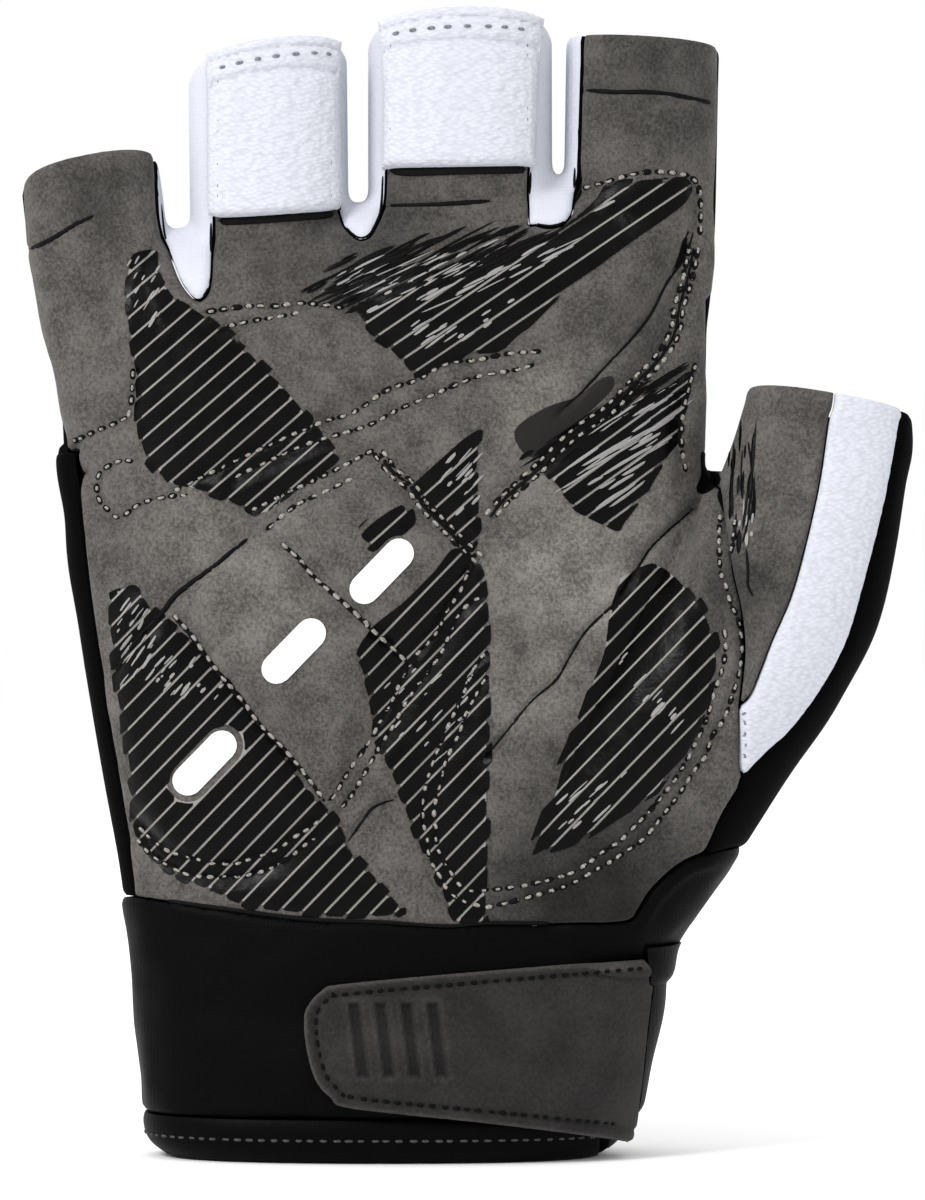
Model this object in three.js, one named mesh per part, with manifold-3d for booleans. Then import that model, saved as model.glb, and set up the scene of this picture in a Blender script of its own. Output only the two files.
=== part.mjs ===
// Short-finger cycling glove for the right hand, filled out as when worn.
// Millimetres. X runs to the thumb side, Z up along the fingers, and the palm faces -Y.
// The origin is the centre of the wrist opening, in the plane of the cuff's lower edge.

import * as THREE from "three";
import { mergeVertices } from "three/addons/utils/BufferGeometryUtils.js";
import Module from "manifold-3d";

const wasm = await Module();
wasm.setup();

// Driving sizes of the hand
const cuffHeight = 33;
const palmHeight = 100.5;
const handWidth = 92;
const handDepth = 28;
const cuffWidth = 70;
const cuffDepth = 36;
const fingerWidth = 22.2;
const fingerDepth = 17;
const fingerReach = 25;
const fingerRoot = 27;
const thumbReach = 72;
const thumbHeight = 71.5;
const thumbDepth = 18.5;

// Cloth, seams and trim
const fabricWall = 1.5;
const cuffWall = 2.4;
const seamGap = 0.3;
const padRise = 1.3;
const hemHeight = 6.2;
const tabThickness = 1.6;
const strapThickness = 1.9;
const slitWidth = 1;

// How finely the rounded forms are faceted
const bodySides = 36;
const fingerSides = 20;
const thumbSides = 24;
const webSteps = 8;

// Roundness of the cross-sections: 2 is an ellipse, more is squarer
const bodyPower = 2.4;
const fingerPower = 2.3;

const mix = (from, to, share) => from + (to - from) * share;

// Cross-sections of cuff and palm. Level runs 0 to 1 up the cuff and 1 to 2 up the palm, hand turns the
// cuff's width and depth into the hand's, the four reaches are shares of them, and rise is the slope
// of the section towards the index finger.
const bodyRows = [
  { level: 0.0, hand: 0.0, left: 0.45, right: 0.407, front: 0.444, back: 0.444, rise: 0.0 },
  { level: 0.08, hand: 0.0, left: 0.486, right: 0.443, front: 0.486, back: 0.486, rise: 0.0 },
  { level: 0.18, hand: 0.0, left: 0.5, right: 0.464, front: 0.5, back: 0.5, rise: 0.0 },
  { level: 0.39, hand: 0.0, left: 0.511, right: 0.484, front: 0.489, back: 0.489, rise: 0.0 },
  { level: 0.7, hand: 0.0, left: 0.524, right: 0.513, front: 0.464, back: 0.464, rise: 0.0 },
  { level: 1.0, hand: 0.25, left: 0.501, right: 0.503, front: 0.465, back: 0.465, rise: 0.0 },
  { level: 1.18, hand: 0.6, left: 0.487, right: 0.487, front: 0.5, back: 0.465, rise: 0.0 },
  { level: 1.4, hand: 0.9, left: 0.492, right: 0.468, front: 0.535, back: 0.472, rise: 0.0 },
  { level: 1.52, hand: 1.0, left: 0.5, right: 0.463, front: 0.536, back: 0.471, rise: 0.0 },
  { level: 1.64, hand: 1.0, left: 0.511, right: 0.471, front: 0.514, back: 0.457, rise: 0.0 },
  { level: 1.75, hand: 1.0, left: 0.52, right: 0.477, front: 0.479, back: 0.429, rise: 0.03 },
  { level: 1.85, hand: 1.0, left: 0.538, right: 0.479, front: 0.429, back: 0.386, rise: 0.08 },
  { level: 1.91, hand: 1.0, left: 0.533, right: 0.467, front: 0.379, back: 0.343, rise: 0.12 },
  { level: 1.96, hand: 1.0, left: 0.467, right: 0.413, front: 0.286, back: 0.264, rise: 0.139 },
  { level: 2.0, hand: 1.0, left: 0.37, right: 0.326, front: 0.129, back: 0.121, rise: 0.139 },
];

// The palm's middle, about which its upper sections slope, as a share of hand width
const palmMiddle = -0.02;

// The four fingers. Root and tip are places across the hand, width, depth and reach are shares of the
// finger sizes, rise is the slope of the open end towards the thumb, and lean lifts its palm side.
const fingers = [
  { name: "pinky", root: -0.43, tip: -0.463, width: 0.885, depth: 0.91, reach: 0.16, rise: 0.19, lean: 0.25 },
  { name: "ring", root: -0.188, tip: -0.194, width: 1.0, depth: 1.0, reach: 0.825, rise: 0.157, lean: 0.14 },
  { name: "middle", root: 0.099, tip: 0.099, width: 1.16, depth: 1.03, reach: 1.0, rise: 0.03, lean: 0.14 },
  { name: "index", root: 0.368, tip: 0.377, width: 0.965, depth: 0.97, reach: 0.868, rise: -0.06, lean: 0.08 },
];

const fingerRows = [
  { along: 0.0, girth: 0.8 },
  { along: 0.35, girth: 0.98 },
  { along: 0.6, girth: 1.0 },
  { along: 1.0, girth: 1.0 },
];

// Cross-sections of the thumb from its root inside the palm to its open end. Up is a share of the thumb's
// height above the cuff, inner and outer are shares of its reach, front and back of its depth.
const thumbRows = [
  { up: -0.1, inner: 0.139, outer: 0.515, front: 0.65, back: 0.59 },
  { up: -0.014, inner: 0.167, outer: 0.572, front: 0.78, back: 0.65 },
  { up: 0.105, inner: 0.208, outer: 0.653, front: 0.89, back: 0.65 },
  { up: 0.262, inner: 0.278, outer: 0.754, front: 1.0, back: 0.62 },
  { up: 0.418, inner: 0.368, outer: 0.856, front: 1.03, back: 0.54 },
  { up: 0.575, inner: 0.465, outer: 0.935, front: 1.0, back: 0.46 },
  { up: 0.731, inner: 0.56, outer: 0.971, front: 0.92, back: 0.35 },
  { up: 0.849, inner: 0.622, outer: 0.99, front: 0.84, back: 0.3 },
  { up: 0.93, inner: 0.656, outer: 1.003, front: 0.78, back: 0.27 },
  { up: 1.0, inner: 0.681, outer: 0.997, front: 0.757, back: 0.243 },
];
const thumbRise = -0.1;
const thumbLean = 0.15;

// White strips between neighbouring fingers. The insets set each seam in from the finger's side, and drop
// is how far the strip's rounded lower end lies below the crotch, as a share of the palm's height.
const webs = [
  { name: "web_pinky_ring", left: 0, right: 1, leftInset: 0.036, rightInset: 0.117, drop: 0.135 },
  { name: "web_ring_middle", left: 1, right: 2, leftInset: 0.05, rightInset: 0.108, drop: 0.05 },
  { name: "web_middle_index", left: 2, right: 3, leftInset: 0.126, rightInset: 0.09, drop: 0.035 },
];

// Towelling tabs on the finger fronts: lower edge below the open end, as a share of the finger reach
const tabs = [
  { name: "pull_tab_ring", finger: 1, length: 0.93 },
  { name: "pull_tab_middle", finger: 2, length: 0.87 },
];

// Seam between cuff and palm, across as a share of hand width, up as a share of cuff height
const cuffSeam = [
  { across: -0.75, up: 1.08 },
  { across: -0.413, up: 1.078 },
  { across: -0.283, up: 1.07 },
  { across: -0.141, up: 1.035 },
  { across: 0.084, up: 1.0 },
  { across: 0.35, up: 0.985 },
  { across: 0.403, up: 1.06 },
  { across: 0.464, up: 1.2 },
  { across: 0.565, up: 1.4 },
  { across: 0.95, up: 2.1 },
];

// Seams of the thumb, across as a share of its reach, up as a share of its height above the cuff
const thumbSeam = [
  { across: 0.628, up: 1.3 },
  { across: 0.628, up: 0.874 },
  { across: 0.651, up: 0.702 },
  { across: 0.681, up: 0.545 },
  { across: 0.679, up: 0.34 },
];
const wipeSeam = [
  { across: 0.858, up: 1.3 },
  { across: 0.856, up: 1.035 },
  { across: 0.836, up: 0.878 },
  { across: 0.807, up: 0.702 },
  { across: 0.768, up: 0.545 },
  { across: 0.719, up: 0.428 },
  { across: 0.679, up: 0.34 },
];
const edgeSeam = [
  { across: 1.03, up: 1.3 },
  { across: 0.986, up: 0.976 },
  { across: 0.965, up: 0.859 },
  { across: 0.92, up: 0.683 },
  { across: 0.862, up: 0.526 },
  { across: 0.785, up: 0.389 },
  { across: 0.679, up: 0.271 },
];
const heelSeam = [
  { across: 0.679, up: 0.271 },
  { across: 0.593, up: 0.101 },
  { across: 0.44, up: -0.16 },
];

// Black strip that shows on the little-finger side of the palm, widest at its upper end,
// across as a share of hand width, up as a share of palm height
const sideStrip = [
  { across: -0.75, up: 0.65 },
  { across: -0.484, up: 0.65 },
  { across: -0.398, up: -0.08 },
  { across: -0.75, up: -0.08 },
];

// Raised gel pads, across as a share of hand width, up as a share of palm height
const pads = [
  [
    { across: -0.435, up: 0.45 },
    { across: -0.36, up: 0.46 },
    { across: -0.2, up: 0.29 },
    { across: -0.09, up: 0.17 },
    { across: -0.14, up: 0.095 },
    { across: -0.27, up: 0.06 },
    { across: -0.37, up: 0.1 },
    { across: -0.42, up: 0.25 },
  ],
  [
    { across: -0.33, up: 0.46 },
    { across: -0.19, up: 0.57 },
    { across: -0.02, up: 0.635 },
    { across: 0.12, up: 0.52 },
    { across: 0.03, up: 0.33 },
    { across: -0.07, up: 0.21 },
  ],
  [
    { across: 0.31, up: 0.5 },
    { across: 0.4, up: 0.53 },
    { across: 0.485, up: 0.45 },
    { across: 0.5, up: 0.3 },
    { across: 0.44, up: 0.18 },
    { across: 0.26, up: 0.07 },
    { across: 0.1, up: 0.055 },
    { across: 0.09, up: 0.15 },
    { across: 0.2, up: 0.31 },
  ],
  [
    { across: -0.4, up: 0.96 },
    { across: -0.27, up: 0.87 },
    { across: -0.08, up: 0.73 },
    { across: -0.13, up: 0.65 },
    { across: -0.3, up: 0.57 },
    { across: -0.385, up: 0.62 },
  ],
  [
    { across: -0.08, up: 0.86 },
    { across: 0.07, up: 0.93 },
    { across: 0.25, up: 0.95 },
    { across: 0.43, up: 0.98 },
    { across: 0.44, up: 0.87 },
    { across: 0.33, up: 0.77 },
    { across: 0.2, up: 0.73 },
    { across: 0.05, up: 0.77 },
  ],
];
const padCrown = 0.82;

// Wrist strap, across as a share of cuff width, up as a share of cuff height.
// The tab's right side lies along the strap's seam, and the strap runs round the thumb side to the back.
const tabOutline = [
  { across: -0.095, up: 0.81 },
  { across: -0.15, up: 0.765 },
  { across: -0.173, up: 0.69 },
  { across: -0.16, up: 0.48 },
  { across: -0.125, up: 0.315 },
  { across: -0.1, up: 0.285 },
];
const strapSeam = [
  { across: 0.445, up: 0.16 },
  { across: 0.493, up: 0.905 },
];
const strapFront = [
  { across: 1.0, up: 0.97 },
  { across: 1.0, up: 0.1 },
  { across: 0.48, up: 0.06 },
  { across: 0.455, up: 0.09 },
];
const strapBack = [
  { across: 0.12, up: 0.2 },
  { across: 1.0, up: 0.1 },
  { across: 1.0, up: 0.97 },
  { across: 0.12, up: 0.82 },
];
const slitAcross = 0.42;
const slitTop = 0.7;

const crotchHeight = cuffHeight + palmHeight;
const farSide = cuffDepth + handDepth;
const farAcross = 2 * handWidth;
const endReach = 2 * cuffWall;
const aboveAll = crotchHeight + 2 * fingerReach;

const onHand = (point) => [point.across * handWidth, cuffHeight + point.up * palmHeight];
const onCuffSeam = (point) => [point.across * handWidth, point.up * cuffHeight];
const onThumb = (point) => [point.across * thumbReach, cuffHeight + point.up * thumbHeight];
const onCuff = (point) => [point.across * cuffWidth, point.up * cuffHeight];

// A closed solid from a three.js geometry, its shared corners joined
function solidFrom(geometry) {
  const bare = new THREE.BufferGeometry();
  bare.setAttribute("position", geometry.getAttribute("position"));
  bare.setIndex(geometry.getIndex());
  const merged = mergeVertices(bare, 1e-4);
  const mesh = new wasm.Mesh({
    numProp: 3,
    vertProperties: new Float32Array(merged.getAttribute("position").array),
    triVerts: new Uint32Array(merged.getIndex().array),
  });
  return new wasm.Manifold(mesh);
}

function geometryFrom(solid) {
  const mesh = solid.getMesh();
  const geometry = new THREE.BufferGeometry();
  geometry.setAttribute("position", new THREE.BufferAttribute(new Float32Array(mesh.vertProperties), 3));
  geometry.setIndex(new THREE.BufferAttribute(new Uint32Array(mesh.triVerts), 1));
  geometry.computeVertexNormals();
  return geometry;
}

// One rounded cross-section as a ring of points, seen from above anticlockwise
function ringOf(section, sides, power) {
  const centreX = (section.left + section.right) / 2;
  const centreY = (section.back - section.front) / 2;
  const halfX = (section.right - section.left) / 2;
  const halfY = (section.back + section.front) / 2;
  const ring = [];
  for (let i = 0; i < sides; i += 1) {
    const angle = (i / sides) * 2 * Math.PI;
    const acrossShare = Math.sign(Math.cos(angle)) * Math.abs(Math.cos(angle)) ** (2 / power);
    const depthShare = Math.sign(Math.sin(angle)) * Math.abs(Math.sin(angle)) ** (2 / power);
    const x = halfX * acrossShare;
    const y = halfY * depthShare;
    const z = section.height + section.rise * (centreX + x - section.pivot) - section.lean * y;
    ring.push(new THREE.Vector3(centreX + x, centreY + y, z));
  }
  return ring;
}

// Skin through a stack of rings, closed at both ends by a fan round the ring's middle
function loft(rings) {
  const sides = rings[0].length;
  const points = rings.flat();
  const lowMiddle = points.length;
  const highMiddle = lowMiddle + 1;
  const middleOf = (ring) => ring.reduce((sum, p) => sum.add(p), new THREE.Vector3()).divideScalar(sides);
  points.push(middleOf(rings[0]), middleOf(rings[rings.length - 1]));
  const index = [];
  const lastRow = (rings.length - 1) * sides;
  for (let i = 0; i < sides; i += 1) {
    const next = (i + 1) % sides;
    for (let row = 0; row < lastRow; row += sides) {
      index.push(row + i, row + next, row + sides + next);
      index.push(row + i, row + sides + next, row + sides + i);
    }
    index.push(lowMiddle, next, i);
    index.push(highMiddle, lastRow + i, lastRow + next);
  }
  const geometry = new THREE.BufferGeometry().setFromPoints(points);
  geometry.setIndex(index);
  return solidFrom(geometry);
}

// Solid with a given outline seen from the front, from depth yFrom to yTo
function prism(outline, yFrom = -farSide, yTo = farSide) {
  const shape = new THREE.Shape(outline.map(([x, z]) => new THREE.Vector2(x, z)));
  const geometry = new THREE.ExtrudeGeometry(shape, { depth: yTo - yFrom, bevelEnabled: false });
  geometry.rotateX(Math.PI / 2);
  geometry.translate(0, yTo, 0);
  return solidFrom(geometry);
}

// Block as wide as the whole glove, from height low to high
function slab(low, high, yFrom = -farSide, yTo = farSide) {
  return prism([[-farAcross, low], [farAcross, low], [farAcross, high], [-farAcross, high]], yFrom, yTo);
}

// Narrow groove along a seam, one seam gap wide, run a gap past both its ends
function groove(line, yFrom = -farSide, yTo = farSide) {
  const points = line.map(([x, z]) => new THREE.Vector2(x, z));
  const last = points.length - 1;
  const run = (a, b) => b.clone().sub(a).normalize();
  const upper = [];
  const lower = [];
  points.forEach((point, i) => {
    const before = run(points[Math.max(i - 1, 0)], points[Math.max(i, 1)]);
    const after = run(points[Math.min(i, last - 1)], points[Math.min(i + 1, last)]);
    const along = before.clone().add(after).normalize();
    const mitre = seamGap / 2 / Math.max(along.dot(before), 0.5);
    const side = new THREE.Vector2(-along.y, along.x).multiplyScalar(mitre);
    const reach = i === 0 ? -seamGap : seamGap;
    const end = i === 0 || i === last ? along.clone().multiplyScalar(reach) : new THREE.Vector2();
    upper.push(point.clone().add(end).add(side).toArray());
    lower.unshift(point.clone().add(end).sub(side).toArray());
  });
  return prism([...upper, ...lower], yFrom, yTo);
}

// Cuff and palm, let out by a number of millimetres worked out for each row
function bodyForm(growOf, openReach = 0) {
  const rings = bodyRows.map((row, i) => {
    const width = mix(cuffWidth, handWidth, row.hand);
    const depth = mix(cuffDepth, handDepth, row.hand);
    const grow = growOf(row);
    const onCuffPart = Math.min(row.level, 1) * cuffHeight;
    const onPalmPart = Math.max(row.level - 1, 0) * palmHeight;
    const ends = (i === 0 ? -openReach : 0) + (i === bodyRows.length - 1 ? grow : 0);
    return ringOf({
      left: -row.left * width - grow,
      right: row.right * width + grow,
      front: row.front * depth + grow,
      back: row.back * depth + grow,
      height: onCuffPart + onPalmPart + ends,
      rise: row.rise,
      lean: 0,
      pivot: palmMiddle * handWidth,
    }, bodySides, bodyPower);
  });
  return loft(rings);
}

const fingerTip = (finger) => crotchHeight + finger.reach * fingerReach;
const fingerCentre = (finger, along) => mix(finger.root, finger.tip, along) * handWidth;

// Place of a finger's side at a height, side -1 towards the little finger and +1 towards the thumb
function fingerSide(finger, side, height) {
  const foot = crotchHeight - fingerRoot;
  const along = (height - foot) / (fingerTip(finger) - foot);
  return fingerCentre(finger, along) + side * finger.width * fingerWidth / 2;
}

function fingerForm(finger, grow, openReach = 0) {
  const foot = crotchHeight - fingerRoot;
  const rings = fingerRows.map((row, i) => {
    const centre = fingerCentre(finger, row.along);
    const half = finger.width * fingerWidth * row.girth / 2 + grow;
    const deep = finger.depth * fingerDepth * row.girth / 2 + grow;
    return ringOf({
      left: centre - half,
      right: centre + half,
      front: deep,
      back: deep,
      height: mix(foot, fingerTip(finger), row.along) + (i === fingerRows.length - 1 ? openReach : 0),
      rise: finger.rise * row.along,
      lean: finger.lean * row.along,
      pivot: centre,
    }, fingerSides, fingerPower);
  });
  return loft(rings);
}

function thumbForm(grow, openReach = 0) {
  const rings = thumbRows.map((row, i) => {
    const last = i === thumbRows.length - 1;
    const inner = row.inner * thumbReach;
    const outer = row.outer * thumbReach;
    return ringOf({
      left: inner - grow,
      right: outer + grow,
      front: row.front * thumbDepth + grow,
      back: row.back * thumbDepth + grow,
      height: cuffHeight + row.up * thumbHeight + (last ? openReach : 0),
      rise: last ? thumbRise : 0,
      lean: last ? thumbLean : 0,
      pivot: (inner + outer) / 2,
    }, thumbSides, fingerPower);
  });
  return loft(rings);
}

// The whole glove's outside, let out by grow, its open ends run on by openReach
function outside(grow, openReach = 0) {
  const forms = [
    bodyForm(() => grow, openReach),
    thumbForm(grow, openReach),
    ...fingers.map((finger) => fingerForm(finger, grow, openReach)),
  ];
  return forms.reduce((whole, form) => whole.add(form));
}

// The hollow for the hand, run past the wrist, finger and thumb ends
function hollow() {
  const forms = [
    bodyForm((row) => -mix(cuffWall, fabricWall, row.hand), endReach),
    thumbForm(-fabricWall, endReach),
    ...fingers.map((finger) => fingerForm(finger, -fabricWall, endReach)),
  ];
  return forms.reduce((whole, form) => whole.add(form));
}

// Outline of the strip between two fingers: down one finger's seam, round the U and up the other
function webLine(web) {
  const leftFinger = fingers[web.left];
  const rightFinger = fingers[web.right];
  const low = crotchHeight - web.drop * palmHeight;
  const leftAt = (height) => fingerSide(leftFinger, 1, height) - web.leftInset * fingerWidth;
  const rightAt = (height) => fingerSide(rightFinger, -1, height) + web.rightInset * fingerWidth;
  const radius = (rightAt(low) - leftAt(low)) / 2;
  const centre = (rightAt(low) + leftAt(low)) / 2;
  const line = [[leftAt(aboveAll), aboveAll]];
  for (let i = 0; i <= webSteps; i += 1) {
    const angle = Math.PI * (1 + i / webSteps);
    line.push([centre + radius * Math.cos(angle), low + radius + radius * Math.sin(angle)]);
  }
  line.push([rightAt(aboveAll), aboveAll]);
  return line;
}

// Outline of a pad's raised middle, drawn in towards the centre of the pad
function crownOf(outline) {
  const count = outline.length;
  const centreX = outline.reduce((sum, [x]) => sum + x, 0) / count;
  const centreZ = outline.reduce((sum, [, z]) => sum + z, 0) / count;
  return outline.map(([x, z]) => [mix(centreX, x, padCrown), mix(centreZ, z, padCrown)]);
}

// Gel pads under the palm's suede, each a low step with a raised middle
const padOutlines = pads.map((pad) => pad.map(onHand));
const padSteps = padOutlines.map((outline) => prism(outline, -farSide, -seamGap));
const padCrowns = padOutlines.map((outline) => prism(crownOf(outline), -farSide, -seamGap));
const lowStep = outside(padRise / 2).intersect(padSteps.reduce((all, pad) => all.add(pad)));
const highStep = outside(padRise).intersect(padCrowns.reduce((all, pad) => all.add(pad)));

// The glove's wall before it is cut into its pieces
const shell = outside(0).add(lowStep).add(highStep).subtract(hollow());
const frontHalf = slab(-aboveAll, aboveAll, -farSide, -seamGap / 2);
const backHalf = slab(-aboveAll, aboveAll, seamGap / 2, farSide);

// Cuff and hem
const cuffLine = cuffSeam.map(onCuffSeam);
const cuffBlock = prism([[-farAcross, -cuffHeight], [farAcross, -cuffHeight], ...cuffLine.toReversed()]);
const hemBlock = slab(-cuffHeight, hemHeight);
const hemGroove = slab(hemHeight - seamGap / 2, hemHeight + seamGap / 2);
const slitX = slitAcross * cuffWidth;
const slit = prism([[slitX, -cuffHeight], [slitX + slitWidth, -cuffHeight],
  [slitX + slitWidth, slitTop * cuffHeight], [slitX, slitTop * cuffHeight]], -farSide, -seamGap);
const cuff = shell.intersect(cuffBlock).subtract(groove(cuffLine)).subtract(slit);
const cuffBand = cuff.subtract(hemBlock).subtract(hemGroove);
const cuffHem = cuff.intersect(hemBlock).subtract(hemGroove);

// White strips between the fingers
let hand = shell.subtract(cuffBlock).subtract(groove(cuffLine));
const webPieces = webs.map((web) => {
  const line = webLine(web);
  const piece = hand.intersect(prism(line)).subtract(groove(line));
  hand = hand.subtract(prism(line)).subtract(groove(line));
  return { name: web.name, solid: piece };
});

// Thumb pieces, and the black cloth of the back with its two strips that show in front
const thumbLine = thumbSeam.map(onThumb);
const wipeLine = wipeSeam.map(onThumb);
const edgeLine = edgeSeam.map(onThumb);
const heelLine = heelSeam.map(onThumb);
const sideLine = sideStrip.map(onHand);
const thumbBlock = prism([...thumbLine, ...wipeLine.toReversed()]);
const wipeBlock = prism([...wipeLine, ...edgeLine.toReversed()]);
const palmSide = [...thumbLine, ...heelLine];
const backSide = [...edgeLine, ...heelLine.slice(1)];
const heelFoot = heelLine[heelLine.length - 1][1];
const farThumbSide = [[farAcross, heelFoot], [farAcross, aboveAll]];
const thumbZone = prism([...palmSide, ...farThumbSide]);
const edgeBlock = prism([...backSide, ...farThumbSide], -farSide, fabricWall);
const sideBlock = prism(sideLine, -farSide, fabricWall);
const front = hand.intersect(frontHalf);
const thumbPanel = front.intersect(thumbBlock).subtract(groove(thumbLine)).subtract(groove(wipeLine));
const thumbWipe = front.intersect(wipeBlock).subtract(groove(wipeLine)).subtract(groove(edgeLine));
const sideGroove = groove(sideLine.slice(0, 3), -farSide, seamGap / 2);
const backPanel = hand.intersect(backHalf.add(edgeBlock).add(sideBlock))
  .subtract(groove(backSide, -farSide, seamGap / 2))
  .subtract(sideGroove);

const palmPanel = front.subtract(thumbZone).subtract(sideBlock)
  .subtract(groove(palmSide))
  .subtract(sideGroove);

// Pull tabs, laid on the finger fronts between the seams
const laidOn = outside(seamGap, endReach);
const tabPieces = tabs.map((tab) => {
  const finger = fingers[tab.finger];
  const low = fingerTip(finger) - tab.length * fingerReach;
  const leftInset = webs[tab.finger - 1].rightInset * fingerWidth;
  const rightInset = webs[tab.finger].leftInset * fingerWidth;
  const leftAt = (height) => fingerSide(finger, -1, height) + leftInset;
  const rightAt = (height) => fingerSide(finger, 1, height) - rightInset;
  const lowSide = [[leftAt(low), low], [rightAt(low), low]];
  const highSide = [[rightAt(aboveAll), aboveAll], [leftAt(aboveAll), aboveAll]];
  const outline = [...lowSide, ...highSide];
  const layer = fingerForm(finger, seamGap + tabThickness).add(bodyForm(() => seamGap + tabThickness));
  const solid = layer.subtract(laidOn).intersect(prism(outline, -farSide, -seamGap));
  return { name: tab.name, solid };
});

// Wrist strap and its grey end
const strapLayer = outside(seamGap + strapThickness).subtract(laidOn);
const strapLine = strapSeam.map(onCuff);
const strapTab = strapLayer
  .intersect(prism([...tabOutline.map(onCuff), ...strapLine], -farSide, 0))
  .subtract(groove(strapLine, -farSide, 0));
const strapBlock = prism([...strapLine, ...strapFront.map(onCuff)], -farSide, fabricWall)
  .add(prism(strapBack.map(onCuff), 0, farSide));
const strapBand = strapLayer.intersect(strapBlock).subtract(groove(strapLine, -farSide, 0));

// Finishes
const suede = { color: 0x6a6661, roughness: 0.95, metalness: 0 };
const stretchCloth = { color: 0x0e0e12, roughness: 0.85, metalness: 0 };
const whiteMesh = { color: 0xe6e8f2, roughness: 0.8, metalness: 0 };
const towelling = { color: 0xeef0fb, roughness: 0.95, metalness: 0 };
const cuffFoam = { color: 0x0c0c10, roughness: 0.7, metalness: 0 };
const strapSuede = { color: 0x3f3b38, roughness: 0.9, metalness: 0 };

const glove = new THREE.Group();
const addPiece = (name, solid, finish) => {
  const mesh = new THREE.Mesh(geometryFrom(solid), new THREE.MeshStandardMaterial(finish));
  mesh.name = name;
  glove.add(mesh);
};

addPiece("palm_panel", palmPanel, suede);
addPiece("back_panel", backPanel, stretchCloth);
webPieces.forEach((piece) => addPiece(piece.name, piece.solid, whiteMesh));
tabPieces.forEach((piece) => addPiece(piece.name, piece.solid, towelling));
addPiece("thumb_panel", thumbPanel, suede);
addPiece("thumb_wipe", thumbWipe, towelling);
addPiece("cuff_band", cuffBand, cuffFoam);
addPiece("cuff_hem", cuffHem, cuffFoam);
addPiece("strap_band", strapBand, cuffFoam);
addPiece("strap_tab", strapTab, strapSuede);

export default glove;
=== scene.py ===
"""Looks of a short-finger cycling glove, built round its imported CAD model.

The glove's skin is rebuilt as one smooth surface, cut into its sewn panels along the seams, and dressed
with gel pads, grip print, stitching and cloth finishes. Lengths are in millimetres until a mesh is made.
Patterns on the palm side are laid out in the plane y = 0 as the camera sees it, and carried to the cloth
along the lines of sight.
"""

import math

import bpy
import numpy as np
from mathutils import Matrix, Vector
from mathutils.bvhtree import BVHTree


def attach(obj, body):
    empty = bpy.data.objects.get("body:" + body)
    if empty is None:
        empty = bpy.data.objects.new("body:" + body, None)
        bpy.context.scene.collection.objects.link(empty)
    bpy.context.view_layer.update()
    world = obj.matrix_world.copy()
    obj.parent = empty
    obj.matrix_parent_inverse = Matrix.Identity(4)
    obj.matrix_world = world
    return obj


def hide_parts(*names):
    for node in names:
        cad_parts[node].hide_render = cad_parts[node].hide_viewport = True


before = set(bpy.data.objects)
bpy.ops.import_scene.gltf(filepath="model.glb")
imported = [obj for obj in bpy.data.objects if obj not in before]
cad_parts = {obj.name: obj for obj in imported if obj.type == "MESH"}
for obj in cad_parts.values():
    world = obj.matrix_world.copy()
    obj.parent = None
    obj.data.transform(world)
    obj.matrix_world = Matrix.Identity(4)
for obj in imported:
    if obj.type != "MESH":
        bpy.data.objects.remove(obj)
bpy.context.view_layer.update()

bl_info = {
    "name": "Cycling glove",
    "version": (1, 0, 0),
    "blender": (4, 5, 0),
    "location": "View3D > Sidebar > Glove",
    "description": "Builds the cloth, print and stitching of a short-finger cycling glove",
    "category": "Object",
}

MM = 0.001

# Camera: its place in millimetres, and the photograph's scale in the plane y = 0
EYE = np.array([9.45, -900.0, 77.56])
MM_PER_PIXEL = 0.14
MIDDLE_PIXEL = 395
GROUND_PIXEL = 1154
PHOTO_SIZE = (925, 1200)
SENSOR = 36.0

# Sizes shared with the CAD model
CUFF_HEIGHT = 33.0
PALM_HEIGHT = 100.5
HAND_WIDTH = 92.0
HAND_DEPTH = 28.0
CUFF_WIDTH = 70.0
CUFF_DEPTH = 36.0
FINGER_WIDTH = 22.2
FINGER_DEPTH = 17.0
FINGER_REACH = 25.0
FINGER_ROOT = 27.0
THUMB_REACH = 72.0
THUMB_HEIGHT = 71.5
THUMB_DEPTH = 18.5
CROTCH = CUFF_HEIGHT + PALM_HEIGHT
PALM_MIDDLE = -0.02
BODY_POWER = 2.4
FINGER_POWER = 2.3

# Where the filled skin is drawn in or out sideways: from x, to x, middle height, reach, shift, in mm
DRAWN_FROM = -34.0
DRAWN_IN = [
    (-70, -34, 114, 10, 0.45),
    (-70, -34, 101, 5, 0.3),
]

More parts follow.
